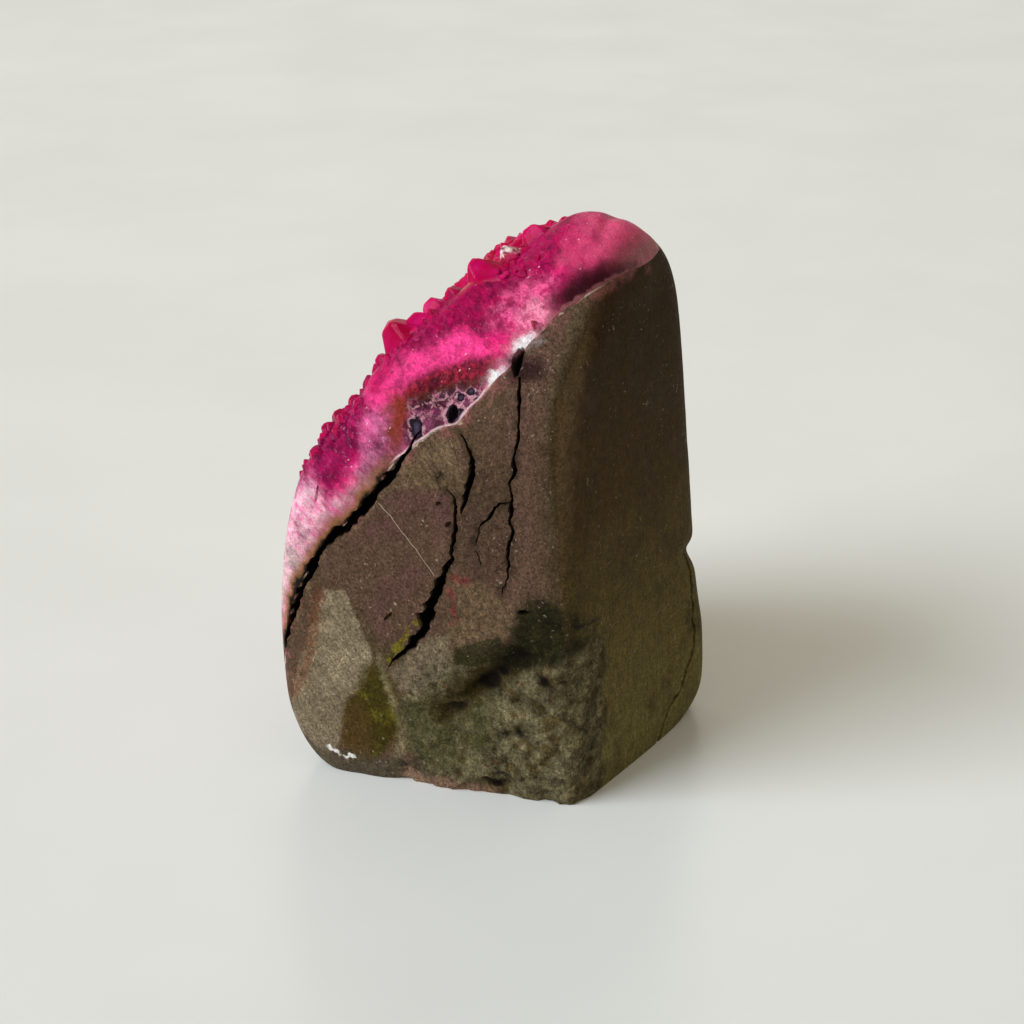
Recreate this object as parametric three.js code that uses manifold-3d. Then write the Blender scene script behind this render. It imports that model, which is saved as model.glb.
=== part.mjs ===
// A pink crystal cluster: a wedge of basalt cut from a geode wall, with a crust of dyed quartz
// whose points cover the sloping front. The sides, back and dome are ground smooth and the base
// is sawn flat. Millimetres, +Z up, origin in the middle of the footprint on the base plane.
// -Y faces the crystals, +X is the ground side that shows crust and stone in section, +Y the back.
import * as THREE from 'three';
import { ConvexGeometry } from 'three/addons/geometries/ConvexGeometry.js';
import { mergeVertices } from 'three/addons/utils/BufferGeometryUtils.js';
import Module from 'manifold-3d';

const wasm = await Module();
wasm.setup();

// ---- Driving dimensions ----------------------------------------------------------------------

const CORE = new THREE.Vector3(0.9, 7.1, 43.7); // the ground faces are measured from this point
const CENTRING = new THREE.Vector3(0, 0.6, 0); // moves the middle of the footprint to the origin
const EDGE_POWER = 14; // the higher, the tighter the rounding between two ground faces
const BODY_DETAIL = 11; // subdivision of the ball that the body is shaped from
const OUTSIDE = 60; // further out than any of the part, along each axis

// Ground faces: azimuth from +X towards +Y, upward tilt, distance from the core.
const GROUND_FACES = {
  side: [6.9, -3.4, 29.4],
  far_side: [165, 6.8, 23.7],
  back: [81.4, 1.7, 20.3],
  druse_upper: [273.3, 42.8, 33.8],
  druse_lower: [270.4, 11, 34],
  front_foot: [269.3, -7.8, 39.4],
  dome: [90.1, 80, 66.8],
  dome_far: [159.5, 52.1, 47.8],
  dome_near: [17.2, 44, 43.7],
  dome_back: [89.9, 42.9, 62.6],
  toe: [300.9, -45.3, 59.7],
  heel: [127, -41.4, 52.7],
  toe_far: [235, -38, 56],
  underside: [0, -90, 48],
};
const DRUSE_FACES = ['druse_upper', 'druse_lower', 'front_foot'];
const LEDGE_FACES = ['side', 'dome_near'];

// Hollows pressed into the body and swells raised on it: from, to, half width, depth (a swell's
// depth is negative).
const HOLLOWS = [
  [[27.5, 21, 33], [30, 3, 14], 3.8, 2], // diagonal trough low on the ground side
  [[28, 12, 10], [29, 18, 18], 7, 0.9], // broken ground below it
  [[-14.5, 31, 33], [-19, 29, 32], 2.2, 1.6], // nick in the far edge of the back
  [[-17, 31, 17], [-19, 30, 8], 6, -1.2], // heel that swells out below the nick
  [[-5, 19.4, 98.4], [6, 20.6, 96.4], 1.2, 0.7], // dip between the two swells of the dome
  [[31, -14, 0], [31, -7, 0], 2.6, 1.0], // chip in the foot of the ground side
  [[30, -24, 12], [28, -23, 2], 7, -1.0], // full corner at the foot of the druse
];

// The wall between stone and crust, as (y, z) on the ground side, from the foot of the druse up
// and over to the back.
const WALL = [
  [-36, 6], [-29.7, 16], [-26.6, 25.5], [-23.2, 36], [-18.2, 45], [-11, 53], [-4.5, 62],
  [2.5, 67.9], [6.4, 69.8], [9.6, 74], [13.8, 79.6], [18, 85.7], [24.4, 90], [33, 89], [44, 87],
];
const WALL_POINTS = 24; // samples of the wall's curve
const WALL_STEPS = 9; // steps of the wall across the part
const WALL_ENDS = [-54, 42]; // x of its two ends, beyond both sides
const WALL_FRONT = 4; // height at which it runs on in front of the part
const WALL_BLOCK_BOTTOM = -20; // the block behind it goes down to here
const WALL_WAVE = 1.8; // how far the wall wanders inside the part
const WALL_WAVE_FROM = 8; // the wander starts at this x, away from the ground side
const WALL_WAVE_RUN = 14; // and is full this much further on
const WALL_WAVE_HEIGHTS = [-10, 50]; // it grows between these heights
const WALL_WAVE_DROP = 0.6; // how much of it goes downwards as the rest goes back
const WALL_ROLLS = [[1, 0.19, 0.06, 0], [0.5, 0.41, -0.13, 1]]; // share, radians per mm of x and z, start
const JOINT = 0.3; // gap left between crust and stone

// Crystal points: how many of each radius, largest first, and how much lower their tips stay.
const POINT_CLASSES = [
  { radius: 5.4, spread: 0.6, count: 16, lower: 0 },
  { radius: 4.2, spread: 0.4, count: 34, lower: 0.3 },
  { radius: 3, spread: 0.3, count: 38, lower: 0.6 },
];
const POINT_STEEPNESS = 1.27; // height of a quartz pyramid over its inner radius
const POINT_RIDGE = 0.22; // half length of the ridge at its tip, over its radius
const POINT_ROOT = 0.8; // radius of its buried end, over its radius
const SMALL_FACE = 0.42; // where the small faces cut the edges, over its inner radius
const FACETED_RADIUS = 4.5; // points from this radius up have small faces between the broad ones
const POINT_TILT = 0.3; // how far a point leans from the surface's normal
const POINT_SPACING = 0.62; // share of two radii kept between two points
const MOST_TRIES = 3000; // places tried for the points of one class
const DRUSE_RIM = { side: 0.6, far_side: 1.5, dome_near: 0.6, dome_far: 2, dome_back: 9 };
const DRUSE_TOP = 94; // the druse gives way to the ground dome at this height
const DRUSE_FOOT = 25; // lowest points, at the far side
const DRUSE_FOOT_RISE = 31; // how much higher they start beside the ground side
const DRUSE_FOOT_TURN = [20, 31]; // x between which the foot rises
const DRUSE_BACK = 12; // the druse ends this far back
const DRUSE_EDGE = 3; // width over which its floor sinks
const DRUSE_FLOOR = 0.4; // how far the crust lies back between the points
const DRUSE_SWELL = 9; // room for the points in front of the druse faces
const POINT_INSET = 0.25; // the points are ground off this much below the other faces
const LEDGE_WIDTH = [5, 11]; // where the massive quartz beside the ground side falls away, and ends
const LEDGE_EDGE = 0.5; // a ledge from this height up has no druse floor
const LEDGE_CLEARANCE = 0.05; // kept between it and the room for the points
const LEDGE_RISES = [[0.4, 52, 60], [2.2, 70, 75], [-2.6, 86.5, 90.5]]; // rise, between two heights

// How far the tips of the points stand over the ground body.
const CREST_LOW = 1.6;
const CREST_RISES = [[2, 71, 76], [-2.3, 82, 88], [-1.5, 91, 96]]; // rise, between two heights
const FAR_RISE = { slope: 0.1, from: 10, run: 20 }; // per mm away from the ground side
const LOW_RISE = { rise: 0.8, from: 24, run: 10, heights: [60, 74] }; // more, below these heights
const RIM_SHARE = 0.35; // share of it kept at the druse's top and foot
const RIM_RUN = 8; // one whole more is kept for each of these mm away from them

// ---- Solids ----------------------------------------------------------------------------------

const toSolid = (geometry) => {
  const bare = geometry.clone();
  for (const name of Object.keys(bare.attributes)) if (name !== 'position') bare.deleteAttribute(name);
  const merged = mergeVertices(bare, 1e-4);
  return new wasm.Manifold(new wasm.Mesh({
    numProp: 3,
    vertProperties: new Float32Array(merged.attributes.position.array),
    triVerts: new Uint32Array(merged.index.array),
  }));
};

const toGeometry = (solid) => {
  const { vertProperties, triVerts } = solid.getMesh();
  const geometry = new THREE.BufferGeometry();
  geometry.setAttribute('position', new THREE.BufferAttribute(vertProperties, 3));
  geometry.setIndex(new THREE.BufferAttribute(triVerts, 1));
  geometry.computeVertexNormals();
  return geometry;
};

// The largest body, once a cut has freed crumbs.
const largest = (solid) => solid.decompose().sort((a, b) => b.volume() - a.volume())[0];

// An outline drawn in (y, z) becomes a prism along X between two stations.
function prismAlongX(shape, from, to, steps = 1) {
  const geometry = new THREE.ExtrudeGeometry(shape, { depth: to - from, steps, bevelEnabled: false });
  geometry.applyMatrix4(new THREE.Matrix4().makeBasis(
    new THREE.Vector3(0, 1, 0), new THREE.Vector3(0, 0, 1), new THREE.Vector3(1, 0, 0)));
  return geometry.translate(from, 0, 0);
}

// ---- The ground body -------------------------------------------------------------------------

const { degToRad: radians, smoothstep, clamp } = THREE.MathUtils;

// The faces, with the druse moved out by swell and all the others moved in by inset.
const groundFaces = (swell = 0, inset = 0) => Object.entries(GROUND_FACES).map(([name, face]) => {
  const [azimuth, tilt, distance] = face;
  const normal = new THREE.Vector3(
    Math.cos(radians(azimuth)) * Math.cos(radians(tilt)),
    Math.sin(radians(azimuth)) * Math.cos(radians(tilt)),
    Math.sin(radians(tilt)));
  return { name, normal, distance: distance + (DRUSE_FACES.includes(name) ? swell : -inset) };
});
const FACES = groundFaces();
const SWOLLEN_FACES = groundFaces(DRUSE_SWELL);

// Distance from the core to the surface in one direction.
const reach = (direction, faces) => faces.reduce((sum, { normal, distance }) =>
  sum + Math.max(0, normal.dot(direction) / distance) ** EDGE_POWER, 0) ** (-1 / EDGE_POWER);

// Outward normal of the ground body at a point of its surface.
function surfaceNormal(point) {
  const fromCore = point.clone().sub(CORE);
  const normal = new THREE.Vector3();
  for (const face of FACES) {
    const share = Math.max(0, face.normal.dot(fromCore) / face.distance);
    normal.addScaledVector(face.normal, share ** (EDGE_POWER - 1) / face.distance);
  }
  return normal.normalize();
}

const HOLLOW_LINES = HOLLOWS.map(([from, to, width, depth]) => ({
  line: new THREE.Line3(new THREE.Vector3(...from), new THREE.Vector3(...to)), width, depth,
}));

function hollowDepth(point) {
  const nearest = new THREE.Vector3();
  return HOLLOW_LINES.reduce((sum, { line, width, depth }) => {
    line.closestPointToPoint(point, true, nearest);
    return sum + depth * Math.exp(-((nearest.distanceTo(point) / width) ** 2));
  }, 0);
}

// The height at which the points begin.
const druseFoot = (x) => DRUSE_FOOT + DRUSE_FOOT_RISE * smoothstep(x, ...DRUSE_FOOT_TURN);

// How far a point of the surface is inside the druse's rim, 0 outside it.
function druseDepth(point) {
  const fromCore = point.clone().sub(CORE);
  let inside = Math.min(DRUSE_BACK - point.y, DRUSE_TOP - point.z, point.z - druseFoot(point.x));
  for (const { name, normal, distance } of FACES) {
    if (name in DRUSE_RIM) inside = Math.min(inside, distance - normal.dot(fromCore) - DRUSE_RIM[name]);
  }
  return Math.max(0, inside);
}

// A height that changes by a list of rises on the way up to z.
const climb = (z, start, rises) =>
  rises.reduce((sum, [rise, from, to]) => sum + rise * smoothstep(z, from, to), start);

// The massive quartz between the points and the ground side, over the ground body.
function ledgeHeight(point) {
  const fromCore = point.clone().sub(CORE);
  const edge = Math.min(...FACES.filter(({ name }) => LEDGE_FACES.includes(name))
    .map(({ normal, distance }) => distance - normal.dot(fromCore)));
  const rise = climb(point.z, 0, LEDGE_RISES);
  const direction = fromCore.normalize();
  const room = reach(direction, SWOLLEN_FACES) - reach(direction, FACES) - LEDGE_CLEARANCE;
  return clamp(rise * (1 - smoothstep(edge, ...LEDGE_WIDTH)), 0, Math.max(0, room));
}

function groundBody(faces, hollowed) {
  const ball = new THREE.IcosahedronGeometry(1, BODY_DETAIL);
  const position = ball.attributes.position;
  const direction = new THREE.Vector3();
  for (let i = 0; i < position.count; i++) {
    direction.fromBufferAttribute(position, i).normalize();
    const point = direction.clone().multiplyScalar(reach(direction, faces)).add(CORE);
    if (hollowed) {
      const ledge = ledgeHeight(point);
      const floor = DRUSE_FLOOR * smoothstep(druseDepth(point), 0, DRUSE_EDGE)
        * (1 - smoothstep(ledge, 0, LEDGE_EDGE));
      point.addScaledVector(direction, ledge - hollowDepth(point) - floor);
    }
    position.setXYZ(i, point.x, point.y, point.z);
  }
  const below = new THREE.BoxGeometry(2 * OUTSIDE, 2 * OUTSIDE, OUTSIDE).translate(0, 0, -OUTSIDE / 2);
  return toSolid(ball).subtract(toSolid(below));
}

// ---- Stone and crust -------------------------------------------------------------------------

const wallCurve = new THREE.SplineCurve(WALL.map(([y, z]) => new THREE.Vector2(y, z)));

// Everything behind the wall, drawn back by the given distance.
function behindWall(drawnBack) {
  const shape = new THREE.Shape(wallCurve.getPoints(WALL_POINTS).map(({ x: y, y: z }) =>
    new THREE.Vector2(y + drawnBack, z - drawnBack)));
  shape.lineTo(OUTSIDE, OUTSIDE);
  shape.lineTo(OUTSIDE, WALL_BLOCK_BOTTOM);
  shape.lineTo(-OUTSIDE, WALL_BLOCK_BOTTOM);
  shape.lineTo(-OUTSIDE, WALL_FRONT);
  const geometry = prismAlongX(shape, ...WALL_ENDS, WALL_STEPS);
  const position = geometry.attributes.position;
  for (let i = 0; i < position.count; i++) {
    const [x, y, z] = [position.getX(i), position.getY(i), position.getZ(i)];
    if (z <= WALL_BLOCK_BOTTOM) continue;
    const wave = WALL_WAVE * smoothstep(WALL_WAVE_FROM - x, 0, WALL_WAVE_RUN)
      * smoothstep(z, ...WALL_WAVE_HEIGHTS);
    const roll = WALL_ROLLS.reduce((sum, [share, alongX, alongZ, start]) =>
      sum + share * Math.sin(alongX * x + alongZ * z + start), 0);
    position.setXYZ(i, x, y + wave * roll, z - WALL_WAVE_DROP * wave * roll);
  }
  return toSolid(geometry);
}

// ---- Cracks and pits -------------------------------------------------------------------------

// A point from its coordinate along one axis and the other two, in order.
function place(axis, value, a, b) {
  const point = new THREE.Vector3().setComponent(axis, value);
  const [first, second] = [0, 1, 2].filter((k) => k !== axis);
  return point.setComponent(first, a).setComponent(second, b);
}

const HALVINGS = 24; // steps of the search for the surface

// Where the ground body is met from outside along one axis, from its high end or its low one, at
// two given other coordinates.
function surfaceAt(axis, end, a, b) {
  let [outer, inner] = [end * OUTSIDE, CORE.getComponent(axis)];
  for (let i = 0; i < HALVINGS; i++) {
    const middle = (outer + inner) / 2;
    const fromCore = place(axis, middle, a, b).sub(CORE);
    const distance = fromCore.length();
    if (distance > reach(fromCore.normalize(), FACES)) outer = middle; else inner = middle;
  }
  return place(axis, inner, a, b);
}

const GROOVE_START = 1; // how far outside the body a cutter begins

// A V-shaped cutter along a crack: points are two coordinates, the width and the depth.
function groove(points, axis, end) {
  const rings = points.map(([a, b, width, depth], i) => {
    const [before, after] = [points[i - 1] ?? points[i], points[i + 1] ?? points[i]];
    const middle = surfaceAt(axis, end, a, b);
    const out = surfaceNormal(middle);
    const side = place(axis, 0, before[1] - after[1], after[0] - before[0]).normalize();
    side.multiplyScalar((width / 2) * (1 + GROOVE_START / depth));
    const over = middle.clone().addScaledVector(out, GROOVE_START);
    return [
      over.clone().add(side),
      over.clone().sub(side),
      middle.clone().addScaledVector(out, -depth),
    ].map((corner) => corner.toArray());
  });
  const legs = rings.slice(1).map((ring, i) => wasm.Manifold.hull([...rings[i], ...ring]));
  return wasm.Manifold.union(legs);
}

// A pit in the ground side: an ellipsoid sunk to its middle.
function pit(y, z, length, width, lean, depth) {
  const geometry = new THREE.IcosahedronGeometry(1, 1).scale(depth, length / 2, width / 2);
  const middle = surfaceAt(0, 1, y, z);
  return toSolid(geometry.rotateX(radians(lean)).translate(middle.x, middle.y, middle.z));
}

// Where the crust has parted from the stone, as (y, z, width, depth) on the ground side.
const CREVICE = [
  [0.3, 68, 0.3, 1], [-4, 61.9, 1.2, 4], [-5.8, 58.9, 2.3, 5], [-7.7, 56.1, 1.5, 5], [-9.6, 53.4, 2.4, 5],
  [-12.6, 49.7, 1.9, 5], [-15.2, 47.9, 2.3, 5], [-17.9, 45.1, 1.1, 4], [-20.1, 41.6, 2, 4.5],
  [-21.8, 38, 1.4, 4], [-25.1, 29.7, 1.7, 3.5], [-27, 23.4, 0.4, 1],
];
const SIDE_CRACKS = [
  // long crack straight down the ground side
  [[15.3, 77.5, 0.7, 2], [16.1, 74.3, 1.1, 3.5], [16.5, 67.8, 0.9, 3], [15.7, 61.9, 1, 4],
    [15.1, 56.5, 1.1, 4], [14.7, 48.4, 0.9, 3], [14.3, 43.7, 0.6, 2], [13.1, 39.9, 0.25, 0.8]],
  // its branch towards the middle
  [[15.1, 57, 0.5, 2], [13.2, 56.5, 0.8, 2.5], [10.9, 53.3, 0.8, 2], [9.5, 50.6, 0.3, 1]],
  // wide crack in two strands, the lower one opening towards the foot
  [[6.9, 68, 0.6, 2], [8.7, 63.7, 1.5, 4], [8.5, 61.1, 1.8, 4], [7.3, 56.1, 1.3, 3.5], [6.5, 53.6, 0.3, 1]],
  [[4.2, 58, 0.3, 1], [5.6, 56.3, 1, 3], [5.1, 48.9, 1.2, 3.5], [3.5, 42.7, 1.6, 4.5], [1.2, 37.3, 2.6, 5],
    [-0.8, 31.8, 2.8, 4.5], [-4.5, 27, 1.9, 3], [-7.6, 23.1, 0.4, 1]],
];
const SIDE_PITS = [
  // y, z, length, width, lean, depth
  [14.2, 79.5, 5.4, 1.7, 96, 3], // dark hole at the head of the long crack
  [5.4, 70.9, 4.2, 2.3, 75, 2.2], // little vug in the crust's foot
  [15.8, 84, 2.9, 1.5, -30, 1.5], // oval pit in the crust
  [16.7, 37, 2, 1.1, 10, 1.5], // oval pit in the stone
  [22.6, 34.4, 3.4, 1, -15, 1.5], // short slot by the back edge
];
const FAR_CRACK = [ // y and z on the far side
  [12, 70, 0.7, 2], [9, 58, 1.1, 2.5], [11, 46, 0.9, 2], [6, 36, 1.2, 2.5], [3, 26, 0.4, 1],
];
const BACK_CRACK = [ // x and z on the back
  [-14.6, 33, 1, 2], [-15.6, 24, 0.8, 1.5], [-15, 14, 0.8, 1.5], [-11, 7.6, 0.9, 1.8], [-7, 5.6, 0.8, 1.5],
  [-3, -1, 0.8, 1.5],
];

// ---- Crystal points --------------------------------------------------------------------------

let seed = 7;
const random = () => {
  seed = (seed * 1664525 + 1013904223) % 2 ** 32;
  return seed / 2 ** 32;
};

// The points are taller away from the ground side, above all low on the druse.
const tipHeight = ({ x, z }) => climb(z, CREST_LOW, CREST_RISES)
  + FAR_RISE.slope * clamp(FAR_RISE.from - x, 0, FAR_RISE.run)
  + LOW_RISE.rise * smoothstep(LOW_RISE.from - x, 0, LOW_RISE.run) * (1 - smoothstep(z, ...LOW_RISE.heights));

// The share of that height which the points keep at the druse's top and foot.
const rimShare = ({ x, z }) =>
  Math.min(1, RIM_SHARE + Math.min(DRUSE_TOP - z, z - druseFoot(x)) / RIM_RUN);

// A six-sided quartz point with its tip at the origin, along +Z: six faces meet at a short ridge
// over a prism that runs down into the crust. On the larger points three small faces cut in
// between three broad ones.
function quartzPoint(radius, spin) {
  const inner = radius * Math.cos(Math.PI / 6);
  const height = POINT_STEEPNESS * inner;
  const small = SMALL_FACE * inner;
  const around = (angle, r, z) => new THREE.Vector3(r * Math.cos(angle), r * Math.sin(angle), z);
  const ridge = around(2 * spin, POINT_RIDGE * radius, 0);
  const blunt = height * (1 - POINT_RIDGE / 2);
  const points = [ridge.clone().setZ(blunt), ridge.clone().negate().setZ(blunt)];
  for (let k = 0; k < 6; k++) {
    const corner = spin + (k * Math.PI) / 3;
    points.push(around(corner, radius, 0), around(corner, POINT_ROOT * radius, -radius - 1));
    if (k % 2 || radius < FACETED_RADIUS) continue;
    points.push(around(corner + Math.PI / 6, small, height * (1 - small / (2 * inner))));
  }
  return new ConvexGeometry(points).translate(0, 0, -blunt);
}

function plantPoint({ point, radius, rise, lean, spin }) {
  const normal = surfaceNormal(point);
  const side = new THREE.Vector3(0, 0, 1).cross(normal).normalize();
  const up = normal.clone().cross(side);
  const axis = normal.clone().addScaledVector(side, lean.x).addScaledVector(up, lean.y).normalize();
  side.set(0, 0, 1).cross(axis).normalize();
  up.copy(axis).cross(side);
  const geometry = quartzPoint(radius, spin);
  geometry.applyMatrix4(new THREE.Matrix4().makeBasis(side, up, axis));
  const tip = point.clone().addScaledVector(normal, rise);
  return toSolid(geometry.translate(tip.x, tip.y, tip.z));
}

// Points that stand out along the ground side, from the brow down: x, z on the druse, radius,
// height of the tip over the ground body.
const LANDMARK_POINTS = [
  [4, 94.6, 4.8, 1.1],
  [8, 90.8, 2.4, 2.7],
  [12, 89.2, 3, 2.4],
  [13, 88, 4, 4.6],
  [16, 84.5, 3, 3.7],
  [18, 82, 4.2, 4.5],
  [22, 80.2, 5.2, 4.5],
  [24, 78.4, 6, 6.2],
  [26, 75.1, 2.8, 3.4],
  [28, 72.1, 2.6, 2],
  [28, 69, 3, 1.7],
  [29, 66.2, 3.2, 1.9],
  [29, 63.6, 3, 1.9],
  [29, 59.7, 2.6, 1.1],
];

const LANDMARK_LEAN = new THREE.Vector2(0.12, 0.06);

function scatterPoints() {
  const planted = LANDMARK_POINTS.map(([x, z, radius, rise]) => ({
    point: surfaceAt(1, -1, x, z), radius, rise, lean: LANDMARK_LEAN, spin: random() * Math.PI,
  }));
  for (const { radius: size, spread, count, lower } of POINT_CLASSES) {
    for (let tries = 0, made = 0; tries < MOST_TRIES && made < count; tries++) {
      const turn = 2 * Math.PI * random();
      const rise = 2 * random() - 1;
      const flat = Math.sqrt(1 - rise * rise);
      const direction = new THREE.Vector3(flat * Math.cos(turn), flat * Math.sin(turn), rise);
      const radius = size + spread * (2 * random() - 1);
      const lean = new THREE.Vector2(POINT_TILT * (2 * random() - 1), POINT_TILT * (2 * random() - 1));
      const spin = random() * Math.PI;
      const point = direction.clone().multiplyScalar(reach(direction, FACES)).add(CORE);
      if (druseDepth(point) === 0) continue;
      const crowds = (other) => other.point.distanceTo(point) < POINT_SPACING * (other.radius + radius);
      if (planted.some(crowds)) continue;
      planted.push({ point, radius, rise: (tipHeight(point) - lower) * rimShare(point), lean, spin });
      made++;
    }
  }
  return planted;
}

// ---- Assembly --------------------------------------------------------------------------------

const body = groundBody(FACES, true);
const pointSpace = groundBody(groundFaces(DRUSE_SWELL, POINT_INSET), false);

const sideCuts = wasm.Manifold.union([
  ...[CREVICE, ...SIDE_CRACKS].map((line) => groove(line, 0, 1)),
  ...SIDE_PITS.map((values) => pit(...values)),
]);
const stone = largest(body
  .intersect(behindWall(JOINT))
  .subtract(sideCuts)
  .subtract(groove(FAR_CRACK, 0, -1))
  .subtract(groove(BACK_CRACK, 1, 1)));

const points = wasm.Manifold.union(scatterPoints().map(plantPoint)).intersect(pointSpace);
const crust = largest(body.add(points).subtract(behindWall(0)).subtract(sideCuts));

const cluster = new THREE.Group();
cluster.name = 'crystal_cluster';
const named = (name, solid, color, roughness) => {
  const material = new THREE.MeshStandardMaterial({ color, roughness, metalness: 0 });
  const mesh = new THREE.Mesh(toGeometry(solid), material);
  mesh.name = name;
  mesh.position.copy(CENTRING);
  cluster.add(mesh);
};
named('matrix_stone', stone, 0x4b443c, 0.7);
named('crystal_crust', crust, 0xd4246f, 0.3);

export default cluster;
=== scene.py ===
"""A pink crystal cluster: a wedge of basalt with a crust of dyed quartz across its sloping front.

Both pieces are shaped by the formulas of the CAD part, in millimetres, at a far finer step, and
are turned to metres when their meshes are made. -Y faces the crystals, +X is the ground side.
"""

import functools
import itertools
import math

import bmesh
import bpy
import numpy as np
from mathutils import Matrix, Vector


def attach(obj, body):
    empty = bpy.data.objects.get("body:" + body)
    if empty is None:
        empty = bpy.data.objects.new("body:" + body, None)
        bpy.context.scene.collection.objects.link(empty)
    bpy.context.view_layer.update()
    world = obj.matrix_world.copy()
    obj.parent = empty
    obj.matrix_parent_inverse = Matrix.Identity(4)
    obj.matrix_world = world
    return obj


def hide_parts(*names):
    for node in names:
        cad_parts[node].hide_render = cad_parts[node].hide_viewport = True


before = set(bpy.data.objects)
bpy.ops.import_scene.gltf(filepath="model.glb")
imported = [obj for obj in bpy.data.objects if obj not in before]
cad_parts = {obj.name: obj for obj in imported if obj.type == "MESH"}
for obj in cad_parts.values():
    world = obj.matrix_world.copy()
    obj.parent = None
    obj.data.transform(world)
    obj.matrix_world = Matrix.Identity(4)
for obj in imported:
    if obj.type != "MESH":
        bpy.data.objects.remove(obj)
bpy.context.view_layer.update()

# ---- Driving dimensions, as in the CAD part ---------------------------------------------------

MM = 0.001
CORE = np.array([0.9, 7.1, 43.7])  # the ground faces are measured from this point
CENTRING = np.array([0, 0.6, 0])  # moves the middle of the footprint to the origin
EDGE_POWER = 14  # the higher, the tighter the rounding between two ground faces
BODY_FREQUENCY = 104  # steps along each edge of the ball that the body is shaped from
OUTSIDE = 60  # further out than any of the part, along each axis

GROUND_FACES = {  # azimuth, upward tilt, distance from the core
    "side": (6.9, -3.4, 29.4),
    "far_side": (165, 6.8, 23.7),
    "back": (81.4, 1.7, 20.3),
    "druse_upper": (273.3, 42.8, 33.8),
    "druse_lower": (270.4, 11, 34),
    "front_foot": (269.3, -7.8, 39.4),
    "dome": (90.1, 80, 66.8),
    "dome_far": (159.5, 52.1, 47.8),
    "dome_near": (17.2, 44, 43.7),
    "dome_back": (89.9, 42.9, 62.6),
    "toe": (300.9, -45.3, 59.7),
    "heel": (127, -41.4, 52.7),
    "toe_far": (235, -38, 56),
    "underside": (0, -90, 48),
}
DRUSE_FACES = ("druse_upper", "druse_lower", "front_foot")

HOLLOWS = [  # from, to, half width, depth (a swell's depth is negative)
    ((27.5, 21, 33), (30, 3, 14), 3.8, 2),  # diagonal trough low on the ground side
    ((28, 12, 10), (29, 18, 18), 7, 0.9),  # broken ground below it
    ((-14.5, 31, 33), (-19, 29, 32), 2.2, 1.6),  # nick in the far edge of the back
    ((-17, 31, 17), (-19, 30, 8), 6, -1.2),  # heel that swells out below the nick
    ((-5, 19.4, 98.4), (6, 20.6, 96.4), 1.2, 0.7),  # dip between the two swells of the dome
    ((31, -14, 0), (31, -7, 0), 2.6, 1.0),  # chip in the foot of the ground side
    ((30, -24, 12), (28, -23, 2), 7, -1.0),  # full corner at the foot of the druse
]

WALL = [  # the wall between stone and crust, as (y, z) on the ground side
    (-36, 6), (-29.7, 16), (-26.6, 25.5), (-23.2, 36), (-18.2, 45), (-11, 53), (-4.5, 62),
    (2.5, 67.9), (6.4, 69.8), (9.6, 74), (13.8, 79.6), (18, 85.7), (24.4, 90), (33, 89), (44, 87),
]
WALL_SAMPLES = 260
WALL_ENDS = (-54, 42)  # in x
WALL_STATIONS = 73  # between them
WALL_WAVE = 1.8  # how far the wall wanders inside the part
WALL_WAVE_FROM, WALL_WAVE_RUN = 8, 14  # x at which it starts, and how much further on it is full
WALL_WAVE_HEIGHTS = (-10, 50)  # it grows between these
WALL_ROLLS = [(1, 0.19, 0.06, 0), (0.5, 0.41, -0.13, 1)]  # share, radians per mm of x and z, start
WALL_ROUGH = 0.35
WALL_DROP = 0.6  # share of the wander that goes down
WALL_BLOCK = [(OUTSIDE, OUTSIDE), (OUTSIDE, -20), (-OUTSIDE, -20), (-OUTSIDE, 4)]  # behind it
JOINT = 0.04  # the pieces touch to the eye; the CAD part keeps them 0.3 apart

POINT_CLASSES = [  # radius, spread, count, how much lower the tips stay
    (5.4, 0.6, 16, 0),
    (4.2, 0.4, 34, 0.3),
    (3, 0.3, 38, 0.6),
]
POINT_TRIES = 3000  # places tried for the points of one class
FINE_POINTS = 1500
FINE_TRIES = 60000
FINE_SHRINK = 9000  # tries over which the largest radius falls to a third of its spread
FINE_RADIUS = (1.1, 3.4)
FINE_LOWER = (0.1, 1.2)
FINE_SPACING = 0.52
FINE_TILT = 0.45
POINT_STEEPNESS = 1.27  # height over inner radius
POINT_RIDGE = 0.22  # half length of its tip over its radius
POINT_ROOT = 0.8  # radius of its buried end over its radius
SMALL_FACE = 0.42  # place of the small faces over inner radius
POINT_TILT = 0.3
POINT_SPACING = 0.62  # share of two radii kept between them
WORN_RADIUS = 2.3  # larger points have worn edges
EDGE_WEAR = 0.03  # its width over the radius
DRUSE_RIM = {"side": 0.6, "far_side": 1.5, "dome_near": 0.6, "dome_far": 2, "dome_back": 9}
DRUSE_TOP = 94
DRUSE_BACK = 12
DRUSE_FOOT = 25  # at the far side
DRUSE_FOOT_RISE = 31  # how much higher beside the ground side
DRUSE_FOOT_TURN = (20, 31)  # x between which it rises
DRUSE_FLOOR = 0.4  # how far it lies back between the points
LEDGE_FACES = ("side", "dome_near")
LEDGE_WIDTH = (5, 11)  # where the massive quartz beside the ground side falls away and ends
LEDGE_CLEARANCE = 0.03
LEDGE_RISES = [(0.4, 52, 60), (2.2, 70, 75), (-2.6, 86.5, 90.5)]  # rise, between two heights
CREST_LOW = 1.6  # how far the tips of the points stand over the body, low on the druse
CREST_RISES = [(2, 71, 76), (-2.3, 82, 88), (-1.5, 91, 96)]  # rise, between two heights
FAR_RISE, FAR_FROM, FAR_RUN = 0.1, 10, 20  # more for each mm away from the ground side
LOW_RISE, LOW_FROM, LOW_RUN, LOW_HEIGHTS = 0.8, 24, 10, (60, 74)  # more, below these heights
RIM_SHARE = 0.35  # share of that height kept at the druse's top and foot
RIM_RUN = 8  # one whole more is kept for each of these mm away from them
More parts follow.
